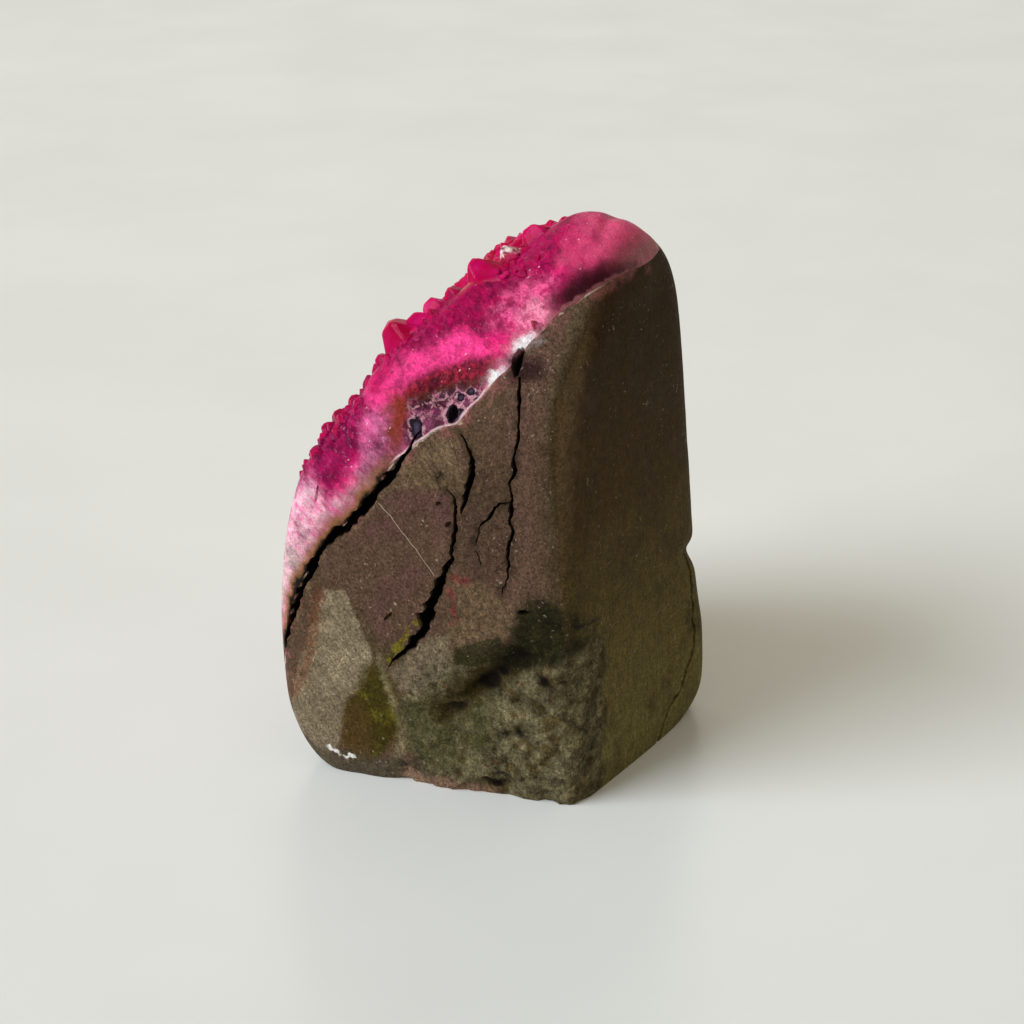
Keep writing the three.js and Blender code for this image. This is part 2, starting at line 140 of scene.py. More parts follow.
DRUSE_SWELL = 9  # room for the points in front of the druse faces
POINT_INSET = 0.25  # they are ground off this far below the other faces
LANDMARK_POINTS = [  # x, z on the druse, radius, height of the tip
    (4, 94.6, 4.8, 1.1), (8, 90.8, 2.4, 2.7), (12, 89.2, 3, 2.4), (13, 88, 4, 4.6),
    (16, 84.5, 3, 3.7), (18, 82, 4.2, 4.5), (22, 80.2, 5.2, 4.5), (24, 78.4, 6, 6.2),
    (26, 75.1, 2.8, 3.4), (28, 72.1, 2.6, 2), (28, 69, 3, 1.7), (29, 66.2, 3.2, 1.9),
    (29, 63.6, 3, 1.9), (29, 59.7, 2.6, 1.1),
]
LANDMARK_LEAN = (0.12, 0.06)

# Cracks on the ground side, as (y, z, width, depth)
CREVICE = [  # where the crust has parted from the stone
    (0.3, 68, 0.2, 1), (-2.2, 64.3, 0.7, 3), (-4, 61.9, 1, 4), (-5.8, 58.9, 1.7, 5), (-7.7, 56.1, 1.1, 5),
    (-9.6, 53.4, 1.9, 5), (-12.6, 49.7, 1.4, 5), (-15.2, 47.9, 1.8, 5), (-17.9, 45.1, 0.8, 4),
    (-20.1, 41.6, 1.5, 4.5), (-21.8, 38, 1, 4), (-23.6, 33.8, 1.2, 4), (-25.1, 29.7, 1.1, 3.5),
    (-26.2, 25.9, 0.8, 2.5), (-27, 23.4, 0.3, 1),
]
SIDE_CRACKS = [
    # long crack straight down the ground side
    [(15.3, 77.5, 0.5, 2), (16.1, 74.3, 0.8, 3.5), (16, 70.4, 0.4, 3), (16.5, 67.8, 0.7, 3),
     (16, 65.4, 0.5, 3), (15.7, 61.9, 0.75, 4), (15.3, 59.2, 0.4, 3), (15.1, 56.5, 0.8, 4),
     (15.1, 52, 0.55, 3.5), (14.7, 48.4, 0.6, 3), (14.3, 43.7, 0.45, 2), (13.1, 39.9, 0.2, 0.8)],
    # its branch towards the middle
    [(15.1, 57, 0.4, 2), (13.2, 56.5, 0.6, 2.5), (11.8, 54.9, 0.6, 2.5), (10.9, 53.3, 0.45, 2),
     (9.9, 52.4, 0.5, 2), (9.5, 50.6, 0.2, 1)],
    # wide crack in two strands, the lower one opening towards the foot
    [(6.9, 68, 0.3, 2), (8.1, 66.4, 0.7, 3), (8.7, 63.7, 0.9, 4), (8.5, 61.1, 1.2, 4), (7.7, 58.3, 1.3, 4),
     (7.3, 56.1, 0.8, 3.5), (6.5, 53.6, 0.2, 1)],
    [(4.2, 58, 0.2, 1), (5.6, 56.3, 0.6, 3), (5.1, 52.6, 0.7, 3.5), (5.1, 48.9, 0.8, 3.5),
     (4.7, 45.2, 0.7, 4), (3.5, 42.7, 1, 4.5), (2.2, 40.3, 1.6, 4.5), (1.2, 37.3, 2, 5),
     (0.2, 34.4, 2.4, 5), (-0.8, 31.8, 2.1, 4.5), (-2.7, 29.2, 1.6, 4), (-4.5, 27, 1.3, 3),
     (-6, 25.5, 0.9, 2), (-7.6, 23.1, 0.3, 1)],
    # three short splits between the long ones
    [(8.7, 47.8, 0.2, 0.8), (9.2, 46.2, 0.4, 1), (9.8, 44.7, 0.2, 0.8)],
    [(3.4, 61, 0.15, 0.5), (2.6, 59.4, 0.25, 0.7), (3.2, 58, 0.15, 0.5)],
    [(9.6, 52, 0.15, 0.5), (8.8, 49.6, 0.25, 0.7), (9, 48.2, 0.15, 0.5)],
]
SIDE_POCKETS = [  # y, z, length, width, lean, depth
    (14.2, 79.5, 5.4, 1.7, 96, 3),  # dark hole at the head of the long crack
    (5.6, 71.2, 2.8, 1.5, 75, 1.6),  # little vug in the crust's foot
    (15.8, 84, 2.9, 1.5, -30, 1.5),  # oval pit in the crust
    (16.7, 37, 2.0, 1.1, 10, 1.5),  # oval pit in the stone
    (22.6, 34.4, 3.4, 1.0, -15, 1.5),  # short slot by the back edge
    (2.8, 55.2, 1.2, 0.9, 0, 0.8),
    (4.2, 51.6, 1.3, 1, 30, 0.8),
    (-7.1, 33.1, 2.3, 0.55, 47, 0.7),
    (-18.6, 54.6, 3.6, 0.5, 78, 0.5),
]
FAR_CRACK = [  # y and z on the far side
    (12, 70, 0.7, 2), (9, 58, 1.1, 2.5), (11, 46, 0.9, 2), (6, 36, 1.2, 2.5), (3, 26, 0.4, 1),
]
BACK_CRACK = [  # x and z on the back
    (-14.6, 33, 1.0, 2), (-15.6, 24, 0.8, 1.5), (-15, 14, 0.8, 1.5), (-11, 7.6, 0.9, 1.8),
    (-7, 5.6, 0.8, 1.5), (-3, -1, 0.8, 1.5),
]


# ---- Small tools ------------------------------------------------------------------------------

def facing(azimuth, tilt):
    a, t = math.radians(azimuth), math.radians(tilt)
    return np.array([math.cos(a) * math.cos(t), math.sin(a) * math.cos(t), math.sin(t)])


def smoothstep(x, low, high):
    t = np.clip((x - low) / (high - low), 0, 1)
    return t * t * (3 - 2 * t)


def unit(v):
    return v / np.linalg.norm(v, axis=-1, keepdims=True)


def value_noise(p, seed=0):
    """Smooth noise from -1 to 1 at points p, one cell per unit."""
    cell = np.floor(p)
    f = p - cell
    f = f * f * (3 - 2 * f)
    total = 0
    for corner in itertools.product((0, 1), repeat=3):
        h = np.sin((cell + corner) @ (127.1, 311.7, 74.7) + 17.3 * seed) * 43758.5453
        share = np.abs(np.subtract(1, corner) - f).prod(-1)
        total = total + (h - np.floor(h)) * share
    return 2 * total - 1


def fractal(p, size, octaves=4, seed=0):
    """Layered noise whose largest features are about the given size."""
    total, share = 0, 1
    for k in range(octaves):
        total = total + share * value_noise(p / size * 2 ** k, seed + k)
        share *= 0.5
    return total


def distance_to_line(p, points):
    """Distance from each p to a line of points, and how far along it the nearest point lies."""
    best = np.full(len(p), np.inf)
    along = np.zeros(len(p))
    start = 0
    for a, b in zip(points[:-1], points[1:]):
        length = np.linalg.norm(b - a)
        t = np.clip((p - a) @ (b - a) / length ** 2, 0, 1)
        d = np.linalg.norm(p - a - t[:, None] * (b - a), axis=1)
        nearer = d < best
        best[nearer] = d[nearer]
        along[nearer] = start + t[nearer] * length
        start += length
    return best, along


def inside(p, outline):
    """How far flat points lie inside a closed outline, negative outside it."""
    corners = np.array([*outline, outline[0]], float)
    distance, _ = distance_to_line(p, corners)
    within = np.zeros(len(p), bool)
    for (y0, z0), (y1, z1) in zip(corners[:-1], corners[1:]):
        if z0 != z1:
            level = (p[:, 1] > min(z0, z1)) & (p[:, 1] <= max(z0, z1))
            within ^= level & (p[:, 0] < y0 + (p[:, 1] - z0) / (z1 - z0) * (y1 - y0))
    return np.where(within, distance, -distance)


def spline(points, samples):
    """Catmull-Rom curve through the points, with evenly stepped parameter."""
    pts = np.array(points, float)
    u = np.linspace(0, len(pts) - 1, samples)
    i = np.minimum(u.astype(int), len(pts) - 2)
    w = (u - i)[:, None]
    p0, p1 = pts[np.maximum(i - 1, 0)], pts[i]
    p2, p3 = pts[i + 1], pts[np.minimum(i + 2, len(pts) - 1)]
    v0, v1 = (p2 - p0) / 2, (p3 - p1) / 2
    return (2 * p1 - 2 * p2 + v0 + v1) * w ** 3 + (-3 * p1 + 3 * p2 - 2 * v0 - v1) * w ** 2 + v0 * w + p1


def show(name, data):
    """Puts data into the scene as an object."""
    obj = bpy.data.objects.new(name, data)
    bpy.context.scene.collection.objects.link(obj)
    return obj


def mesh_object(name, vertices, faces):
    """An object from vertices in millimetres, in the shaping frame."""
    mesh = bpy.data.meshes.new(name)
    mesh.from_pydata((np.asarray(vertices) + CENTRING) * MM, [], [list(map(int, f)) for f in faces])
    mesh.update()
    return show(name, mesh)


def places(elements, what):
    """Where vertices or faces lie, in millimetres in the shaping frame."""
    flat = np.empty(3 * len(elements), np.float32)
    elements.foreach_get(what, flat)
    return flat.reshape(-1, 3).astype(float) / MM - CENTRING


def apply_booleans(obj, *settings):
    """Works boolean steps into an object's mesh, each given by its operation and its operand."""
    for how, operand in settings:
        step = obj.modifiers.new(how, "BOOLEAN")
        step.operation, step.solver = how, "MANIFOLD"
        if isinstance(operand, bpy.types.Collection):
            step.operand_type, step.collection = "COLLECTION", operand
        else:
            step.object = operand
    graph = bpy.context.evaluated_depsgraph_get()
    mesh = bpy.data.meshes.new_from_object(obj.evaluated_get(graph))
    obj.modifiers.clear()
    old, obj.data = obj.data, mesh
    bpy.data.meshes.remove(old)


def cut(obj, *others, how="DIFFERENCE"):
    """Cuts, joins or trims obj by other objects, which are used up."""
    apply_booleans(obj, *((how, other) for other in others))
    for other in others:
        bpy.data.meshes.remove(other.data)


# ---- The ground body --------------------------------------------------------------------------

BROKEN_GROUND = np.array([(26, 24, 14.0), (29, 6, 4.0)])  # a line along the middle of it
NORMALS = np.array([facing(a, t) for a, t, _ in GROUND_FACES.values()])
DISTANCES = np.array([d for _, _, d in GROUND_FACES.values()])
SWOLLEN = DISTANCES + [DRUSE_SWELL if name in DRUSE_FACES else 0 for name in GROUND_FACES]
POINT_SPACE = DISTANCES + [DRUSE_SWELL if name in DRUSE_FACES else -POINT_INSET for name in GROUND_FACES]
FACE_INDEX = {name: k for k, name in enumerate(GROUND_FACES)}


def reach(directions, distances=DISTANCES):
    """Distance from the core to the surface in given directions."""
    shares = np.clip(directions @ NORMALS.T / distances, 0, None)
    return (shares ** EDGE_POWER).sum(-1) ** (-1 / EDGE_POWER)


def surface_normal(p):
    shares = np.clip((p - CORE) @ NORMALS.T / DISTANCES, 0, None)
    return unit((shares ** (EDGE_POWER - 1) / DISTANCES) @ NORMALS)


def hollow_depth(p):
    """How deep the hollows are at points of the smooth body."""
    total = np.zeros(len(p))
    for a, b, width, depth in HOLLOWS:
        d, _ = distance_to_line(p, [np.array(a, float), np.array(b, float)])
        total += depth * np.exp(-(d / width) ** 2)
    return total


def under_face(p, name):
    """How far points lie under one ground face."""
    k = FACE_INDEX[name]
    return DISTANCES[k] - (p - CORE) @ NORMALS[k]


def druse_foot(x):
    """The height at which the druse begins."""
    return DRUSE_FOOT + DRUSE_FOOT_RISE * smoothstep(x, *DRUSE_FOOT_TURN)


def druse_depth(p):
    """How far a point of the surface is inside the druse's rim, 0 outside it."""
    inner = np.min([DRUSE_BACK - p[:, 1], DRUSE_TOP - p[:, 2], p[:, 2] - druse_foot(p[:, 0])], axis=0)
    for name, rim in DRUSE_RIM.items():
        inner = np.minimum(inner, under_face(p, name) - rim)
    return np.maximum(inner, 0)


def broken_ground(p):
    """1 on the rough, unground stone low on the ground side, 0 elsewhere."""
    d, _ = distance_to_line(p, BROKEN_GROUND)
    return smoothstep(-p[:, 2], -34, -26) * smoothstep(p[:, 0], 18, 24) * smoothstep(-d, -19, -12)


def chipped_foot(p):
    """1 along the broken lower edge of the ground side, 0 elsewhere."""
    return smoothstep(5.5 - p[:, 2], 0, 5) * smoothstep(p[:, 0], 19, 25) * smoothstep(p[:, 1], -13, -7)


def climb(z, start, rises):
    """A height that changes by a list of rises on the way up to z."""
    return sum((rise * smoothstep(z, low, high) for rise, low, high in rises), start)


def ledge_height(p):
    """The massive quartz between the crystals and the ground side, over the smooth body."""
    edge = np.min([under_face(p, name) for name in LEDGE_FACES], axis=0)
    directions = unit(p - CORE)
    room = reach(directions, SWOLLEN) - reach(directions) - LEDGE_CLEARANCE
    rise = climb(p[:, 2], 0, LEDGE_RISES) * (1 - smoothstep(edge, *LEDGE_WIDTH))
    return np.clip(rise, 0, np.maximum(room, 0))


def relief_depth(p):
    """How far the finished surface lies under the smooth body, at points of that body."""
    ledge = ledge_height(p)
    floor = DRUSE_FLOOR * smoothstep(druse_depth(p), 0, 3) * (1 - smoothstep(ledge, 0, 0.5))
    rough = broken_ground(p)
    ledges = 0.9 * np.abs(fractal(p * (1, 1, 1.6), 7, 3, 21))
    bumps = 0.05 * fractal(p, 5, 3) + rough * (1.0 * fractal(p, 5, 5, 9) + ledges + 0.2)
    bumps += chipped_foot(p) * (0.9 + 1.1 * fractal(p, 4, 4, 31))
    return hollow_depth(p) + floor + bumps - ledge


def geodesic(frequency):
    """Unit directions and triangles of an icosahedron with its edges cut in that many steps."""
    bm = bmesh.new()
    bmesh.ops.create_icosphere(bm, subdivisions=1, radius=1)
    corners = [[np.array(v.co) for v in f.verts] for f in bm.faces]
    bm.free()
    points, triangles = [], []
    for a, b, c in corners:
        row_start = []
        for i in range(frequency + 1):
            row_start.append(len(points))
            for j in range(frequency + 1 - i):
                k = frequency - i - j
                points.append((a * k + b * i + c * j) / frequency)
        for i in range(frequency):
            for j in range(frequency - i):
                p, q = row_start[i] + j, row_start[i + 1] + j
                triangles.append((p, q, p + 1))
                if j < frequency - i - 1:
                    triangles.append((q, q + 1, p + 1))
    points, triangles = unit(np.array(points)), np.array(triangles)
    _, first, index = np.unique(np.round(points, 5), axis=0, return_index=True, return_inverse=True)
    return points[first], index.reshape(-1)[triangles]


def ground_body(name, distances, relief):
    """The ball pressed into the body that the given distances of the faces make, on its base."""
    directions, triangles = BALL
    p = CORE + directions * reach(directions, distances)[:, None]
    if relief:
        p = p - directions * relief_depth(p)[:, None]
    body = mesh_object(name, p, triangles)
    cut(body, mesh_object("floor_cut", *box_mesh((-100, -100, -OUTSIDE), (100, 100, 0))))
    return body


def box_mesh(low, high):
    """Corners and sides of a box between two corners."""
    corners = list(itertools.product(*zip(low, high)))
    sides = [(0, 1, 3, 2), (4, 6, 7, 5), (0, 4, 5, 1), (2, 3, 7, 6), (0, 2, 6, 4), (1, 5, 7, 3)]
    return np.array(corners, float), sides


def sunk(p, distances=DISTANCES):
    """How far points lie under the smooth body, along the lines from its core."""
    off = p - CORE
    length = np.linalg.norm(off, axis=1)
    return reach(off / length[:, None], distances) - length


# ---- The wall between stone and crust ---------------------------------------------------------

WALL_LINE = spline(WALL, WALL_SAMPLES)


def wall_shift(p):
    """How far the wall's waves move it at points p."""
    x, z = p[:, 0], p[:, 2]
    wave = WALL_WAVE * smoothstep(WALL_WAVE_FROM - x, 0, WALL_WAVE_RUN) * smoothstep(z, *WALL_WAVE_HEIGHTS)
    roll = sum(share * np.sin(by_x * x + by_z * z + start) for share, by_x, by_z, start in WALL_ROLLS)
    return wave * roll + WALL_ROUGH * fractal(p, 4, 4, 3)


def behind_wall(drawn_back):
    """Everything behind the wall, drawn back by the given distance."""
    outline = np.concatenate([WALL_LINE + (drawn_back, -drawn_back), WALL_BLOCK])
    stations = np.linspace(*WALL_ENDS, WALL_STATIONS)
    p = np.array([[(x, y, z) for y, z in outline] for x in stations]).reshape(-1, 3)
    shift = wall_shift(p)
    moved = (p[:, 2] > -15) & (p[:, 1] < 50)
    p[moved, 1] += shift[moved]
    p[moved, 2] -= WALL_DROP * shift[moved]
    return tube("behind_wall", p, len(outline), ((0, 1, 3), (0, 3, 2)))


def wall_distance(p):
    """How far points lie from the wall, and how far up along it."""
    shift = wall_shift(p)[:, None]
    return distance_to_line(p[:, 1:] - shift * (1, -WALL_DROP), WALL_LINE[::4])


def tube(name, p, n, pattern):
    """A closed mesh through rings of n points each, its faces triangulated and turned outwards.
    The pattern says how to span two neighbours (0, 1) of one ring and those of the next (2, 3)."""
    faces = []
    for start in range(0, len(p) - n, n):
        for k in range(n):
            a, b = start + k, start + (k + 1) % n
            faces += [[(a, b, a + n, b + n)[corner] for corner in face] for face in pattern]
    faces += [range(n)[::-1], range(len(p) - n, len(p))]
    obj = mesh_object(name, p, faces)
    bm = bmesh.new()
    bm.from_mesh(obj.data)
    bmesh.ops.triangulate(bm, faces=bm.faces[:])
    bmesh.ops.recalc_face_normals(bm, faces=bm.faces[:])
    bm.to_mesh(obj.data)
    bm.free()
    return obj


# ---- Cracks and pockets -----------------------------------------------------------------------

HALVINGS = 26  # steps of the search for the surface
SIDE_START = 45  # where it begins on the ground side, in x
GROOVE_RISE = 1.5  # how far outside the body it begins
GROOVE_WANDER = 0.35  # how far it strays from its line
GROOVE_RAGGED = 0.45  # how much its width varies
GROOVE_STEP = 0.3  # between its rings
NARROWEST = 0.05  # half width that it keeps
FAR_SEED, BACK_SEED = 71, 81
POCKET_FREQUENCY = 10  # as BODY_FREQUENCY, for a pocket's ball
POCKET_RAGGED = 0.22


def on_surface(p, axis, low, high):
    """Slides points along one axis until they meet the ground body, from low (outside) inwards."""
    p = np.array(p, float)
    outer, inner = np.full(len(p), float(low)), np.full(len(p), float(high))
    for _ in range(HALVINGS):
        middle = (outer + inner) / 2
        p[:, axis] = middle
        outside = sunk(p) < 0
        outer, inner = np.where(outside, middle, outer), np.where(outside, inner, middle)
    return p


def groove(points, axis, low, high, seed):
    """A V-shaped cutter along a crack. Points are the two coordinates across the axis, the width
    and the depth; the crack lies on the surface met from low towards high."""
    pts = np.array(points, float)
    legs = np.linalg.norm(np.diff(pts[:, :2], axis=0), axis=1)
    run = np.concatenate([[0], np.cumsum(legs)])
    s = np.arange(0, run[-1], GROOVE_STEP)
    line = np.stack([np.interp(s, run, pts[:, k]) for k in range(4)], 1)
    tangent = unit(np.gradient(line[:, :2], axis=0))
    across = np.stack([-tangent[:, 1], tangent[:, 0]], 1)
    track = np.stack([s, np.zeros_like(s), np.zeros_like(s)], 1)
    ease = np.minimum(1, np.minimum(s, s[-1] - s) / 1.5)
    line[:, :2] += across * GROOVE_WANDER * (ease * fractal(track, 2.2, 3, seed))[:, None]
    half = [line[:, 2] / 2 * (1 + GROOVE_RAGGED * fractal(track, 1.3, 3, seed + k)) for k in (5, 6)]
    centre = on_surface(np.insert(line[:, :2], axis, 0, axis=1), axis, low, high)
    normal = surface_normal(centre)
    side = np.insert(across, axis, 0, axis=1)
    side = unit(side - normal * (side * normal).sum(1, keepdims=True))
    depth = line[:, 3:4]
    left, right = (np.maximum(h, NARROWEST)[:, None] for h in half)
    rings = np.stack([
        centre + normal * GROOVE_RISE + side * left * 1.3,
        centre - normal * 0.4 * depth + side * left * 0.75,
        centre - normal * depth,
        centre - normal * 0.4 * depth - side * right * 0.75,
        centre + normal * GROOVE_RISE - side * right * 1.3,
    ], 1)
    return tube("groove", rings.reshape(-1, 3), rings.shape[1], ((0, 1, 3, 2),))


def pocket(y, z, length, width, lean, depth, seed):
    """A ragged pit in the ground side."""
    directions, triangles = geodesic(POCKET_FREQUENCY)
    a = math.radians(lean)
    centre = on_surface([(0, y, z)], 0, SIDE_START, CORE[0])[0]
    scale = np.array([depth, length / 2, width / 2])
    p = directions * scale * (1 + POCKET_RAGGED * fractal(directions, 0.8, 3, seed))[:, None]
    turned = np.stack([p[:, 0], p[:, 1] * math.cos(a) - p[:, 2] * math.sin(a),
                       p[:, 1] * math.sin(a) + p[:, 2] * math.cos(a)], 1)
    return mesh_object("pocket", turned + centre, triangles)


def side_cutters():
    """Cutters for every crack and pocket of the ground side."""
    lines = [CREVICE, *SIDE_CRACKS]
    return ([groove(line, 0, SIDE_START, CORE[0], 10 * k) for k, line in enumerate(lines)]
            + [pocket(*values, seed=k) for k, values in enumerate(SIDE_POCKETS)])


# ---- Crystal points ---------------------------------------------------------------------------

POINT_SEED, FINE_SEED = 7, 11
DRUSE_START = -40  # where the search for the surface begins, in y
FINE_BURIED = 0.3  # a tip may lie this far inside its neighbour


class Dice:
    """The CAD part's own random numbers, so that the points stand where it has them."""
    def __init__(self, seed):
        self.seed = seed

    def __call__(self):
        self.seed = (self.seed * 1664525 + 1013904223) % 2 ** 32
        return self.seed / 2 ** 32

    def between(self, low, high):
        return low + (high - low) * self()

    def direction(self):
        turn, rise = 2 * math.pi * self(), 2 * self() - 1
        flat = math.sqrt(1 - rise * rise)
        return np.array([flat * math.cos(turn), flat * math.sin(turn), rise])


def tip_height(p):
    """How far tips stand over the smooth body: higher around the brow and away from the side."""
    x, _, z = p
    low = smoothstep(LOW_FROM - x, 0, LOW_RUN) * (1 - smoothstep(z, *LOW_HEIGHTS))
    far = np.clip(FAR_FROM - x, 0, FAR_RUN)
    return climb(z, CREST_LOW, CREST_RISES) + FAR_RISE * far + LOW_RISE * low


def rim_share(p):
    """How much of their height the tips keep at the druse's top and foot."""
    x, _, z = p
    return min(1, RIM_SHARE + min(DRUSE_TOP - z, z - druse_foot(x)) / RIM_RUN)


def scatter_points():
    """Where the CAD part's points stand: foot, radius, height of the tip, lean and spin."""
    dice = Dice(POINT_SEED)
    planted = []
    for x, z, radius, rise in LANDMARK_POINTS:
        point = on_surface([(x, 0, z)], 1, DRUSE_START, CORE[1])[0]
        planted.append((point, radius, rise, LANDMARK_LEAN, dice() * math.pi))
    for size, spread, count, lower in POINT_CLASSES:
        made = 0
        for _ in range(POINT_TRIES):
            if made == count:
                break
            direction = dice.direction()
            radius = size + spread * (2 * dice() - 1)
            lean = (POINT_TILT * (2 * dice() - 1), POINT_TILT * (2 * dice() - 1))
            spin = dice() * math.pi
            point = CORE + direction * reach(direction)
            if druse_depth(point[None])[0] == 0:
                continue
            if any(np.linalg.norm(q - point) < POINT_SPACING * (r + radius) for q, r, *_ in planted):
                continue
            rise = (tip_height(point) - lower) * rim_share(point)
            planted.append((point, radius, rise, lean, spin))
            made += 1
    return planted


def fine_points(planted):
    """Small points that crowd the ground between the others, where those don't bury them."""
    dice = Dice(FINE_SEED)
    feet = np.array([p for p, *_ in planted])
    radii = np.array([r for _, r, *_ in planted])
    rises = np.array([h for _, _, h, *_ in planted])
    made = []
    for tries in range(FINE_TRIES):
        if len(made) == FINE_POINTS:
            break
        direction = dice.direction()
        point = CORE + direction * reach(direction)
        if druse_depth(point[None])[0] == 0:
            continue
        small, large = FINE_RADIUS  # the largest are tried first
        radius = dice.between(small, small + (large - small) * math.exp(-tries / FINE_SHRINK))
        rise = (tip_height(point) - dice.between(*FINE_LOWER)) * rim_share(point)
        away = np.linalg.norm(feet - point, axis=1)
        buried = rises - POINT_STEEPNESS * 0.9 * away > rise + FINE_BURIED
        crowded = away < FINE_SPACING * (np.minimum(radii, 1.6 * radius) + radius)
        if np.any(buried & (away < radii)) or np.any(crowded & (radii < FINE_RADIUS[1])):
            continue
        lean = (dice.between(-FINE_TILT, FINE_TILT), dice.between(-FINE_TILT, FINE_TILT))
        made.append((point, radius, rise, lean, dice() * math.pi))
        feet, radii, rises = np.vstack([feet, point]), np.append(radii, radius), np.append(rises, rise)
    return made


def square_to(axis):
    """Two directions square to an axis: a level one, and the one up the slope."""
    side = unit(np.cross((0, 0, 1), axis))
    return side, np.cross(axis, side)


def quartz_point(point, radius, rise, lean, spin):
    """One six-sided point: its faces meet at a short ridge, and three small ones cut in."""
    inner = radius * math.cos(math.pi / 6)
    height = POINT_STEEPNESS * inner
    small = SMALL_FACE * inner
    ridge = POINT_RIDGE * radius * np.array([math.cos(2 * spin), math.sin(2 * spin), 0])
    blunt = height * (1 - POINT_RIDGE / 2)
    p = [ridge + (0, 0, blunt), -ridge + (0, 0, blunt)]
    for k in range(6):
        corner = spin + k * math.pi / 3
        c, s = math.cos(corner), math.sin(corner)
        root = POINT_ROOT * radius
        p += [(radius * c, radius * s, 0), (root * c, root * s, -radius - 1)]
        if k % 2 == 0:
            face = corner + math.pi / 6
            p.append((small * math.cos(face), small * math.sin(face), height * (1 - small / (2 * inner))))
    p = np.array(p, float) - (0, 0, blunt)
    normal = surface_normal(point[None])[0]
    side, up = square_to(normal)
    axis = unit(normal + side * lean[0] + up * lean[1])
    return p @ np.array([*square_to(axis), axis]) + point + normal * rise


def crystal_points():
    """All the points, each a closed hull, the larger ones with worn edges, in one collection."""
    gathered = bpy.data.collections.new("points")
    planted = scatter_points()
    for values in planted + fine_points(planted):
        bm = bmesh.new()
        for co in (quartz_point(*values) + CENTRING) * MM:
            bm.verts.new(co)
        bmesh.ops.convex_hull(bm, input=bm.verts[:])
        radius = values[1]
        if radius > WORN_RADIUS:
            bmesh.ops.dissolve_limit(bm, angle_limit=math.radians(1), verts=bm.verts[:], edges=bm.edges[:])
            bmesh.ops.bevel(bm, geom=bm.edges[:], offset=EDGE_WEAR * radius * MM, segments=1,
                            affect="EDGES")
        bmesh.ops.triangulate(bm, faces=bm.faces[:])
        bmesh.ops.recalc_face_normals(bm, faces=bm.faces[:])
        mesh = bpy.data.meshes.new("point")
        bm.to_mesh(mesh)
        bm.free()
        gathered.objects.link(bpy.data.objects.new("point", mesh))
    return gathered


# ---- What the shaders know of each point ------------------------------------------------------

SIDE_ZONES = {  # patches of the ground side, as outlines in (y, z)
    "polished": [(-18.8, 36.5), (-14.6, 37), (-10.2, 25), (-11.8, 19), (-15.5, 15.6), (-15.9, 12),
        (-17.5, 6), (-21.3, 3), (-27, 10), (-24, 22), (-20.5, 30.6)],
    "upper_tan": [(-3.1, 61.2), (1.7, 67), (6.1, 66.3), (7.6, 58.3), (3.6, 57.8), (-4.4, 57.5)],
    "moss": [(-12, 22), (-9, 24), (-6.4, 19), (-5.6, 12.2), (-7.4, 8), (-10, 4), (-15.4, 3.3), (-17.5, 6),
        (-16, 14.7), (-13, 19)],
    "moss_foot": [(-17, 14.9), (-12.8, 15.3), (-11.2, 9.5), (-12, 3), (-19, 1), (-19, 5.5)],
    "plum": [(-7.4, 54.7), (-3.2, 58.2), (3.6, 57.8), (5.8, 54.5), (5.2, 45.9), (1.9, 42.4), (-1.9, 36.3),
        (-4.5, 30.2), (-8.7, 27.6), (-13.1, 37.3), (-16.9, 43), (-11.3, 48.7)],
    "purple": [(15.3, 75.7), (19.3, 77.6), (20.6, 39.9), (13.4, 40.2), (5.3, 41.6), (8, 52.3),
        (9.2, 54.9), (14.9, 56.2), (15.6, 65)],
    "wedge": [(4, 42.5), (9.8, 41.6), (16.6, 36), (13.1, 30.8), (7.2, 29), (4.5, 27.7), (3.4, 32)],
    "murk": [(16, 37.5), (18.6, 41), (21.5, 39.8), (24.2, 36), (24.9, 29.5), (22.6, 27.6), (16.7, 25.6),
        (12.5, 23.9), (11.7, 27.3), (14, 30.8), (14.8, 34.5)],
    "lichen": [(-5.2, 15.8), (-0.3, 17.8), (5, 20), (9.9, 19.5), (9.1, 10), (4.1, 4), (-2, 4),
        (-5.6, 7.8)],
    "rough": [(-1, -4), (-5.7, 17), (0, 25.8), (16, 30), (24.3, 31.2), (30, 25), (30, -4)],
    "crack_shaded": [(6.9, 42), (6.3, 54), (8.2, 62), (14.5, 62.5), (14.6, 45.6), (12.8, 41.8)],
    "shade": [(4.3, 23.8), (11, 28), (16.8, 26.4), (14.2, 22.4), (9.3, 19.8), (5.4, 17.8), (2.4, 13.5),
        (0, 14)],
    "shelf": [(-7.2, 22.4), (-4.6, 26.2), (0, 29.8), (3.4, 31), (3.9, 25), (-1.9, 19.2), (-6.4, 19)],
    "slab": [(4.4, 28.8), (8, 30), (12.4, 32), (13.6, 28.6), (9.5, 26), (7.2, 25.2), (4.4, 26)],
    "tan_foot": [(-7, 3.6), (-2.8, 1.8), (1.5, 2.4), (6.4, 1.6), (10.5, 1.2), (9, -3), (-7, -3)],
}
JOINT_ZONES = {  # patches that run over the joint into the stone
    # highlight_spot and low_highlight_spot outline painted highlights, where light glints off the polished
    # shoulder
    "highlight_spot": [(12.1, 81.4), (13.6, 83.2), (15.8, 83.6), (18, 82.9), (17, 81), (15, 80.3), (13, 80.6)],
    "socket": [(12.2, 80), (14.7, 80.6), (18.4, 79.6), (18.8, 77.6), (16, 76.8), (13.9, 76.6),
        (13.1, 78.6)],
    "low_highlight_spot": [(10.2, 78.2), (12.3, 79), (13.6, 78.1), (13, 76.5), (11.9, 74.9), (10.2, 75.8)],
}
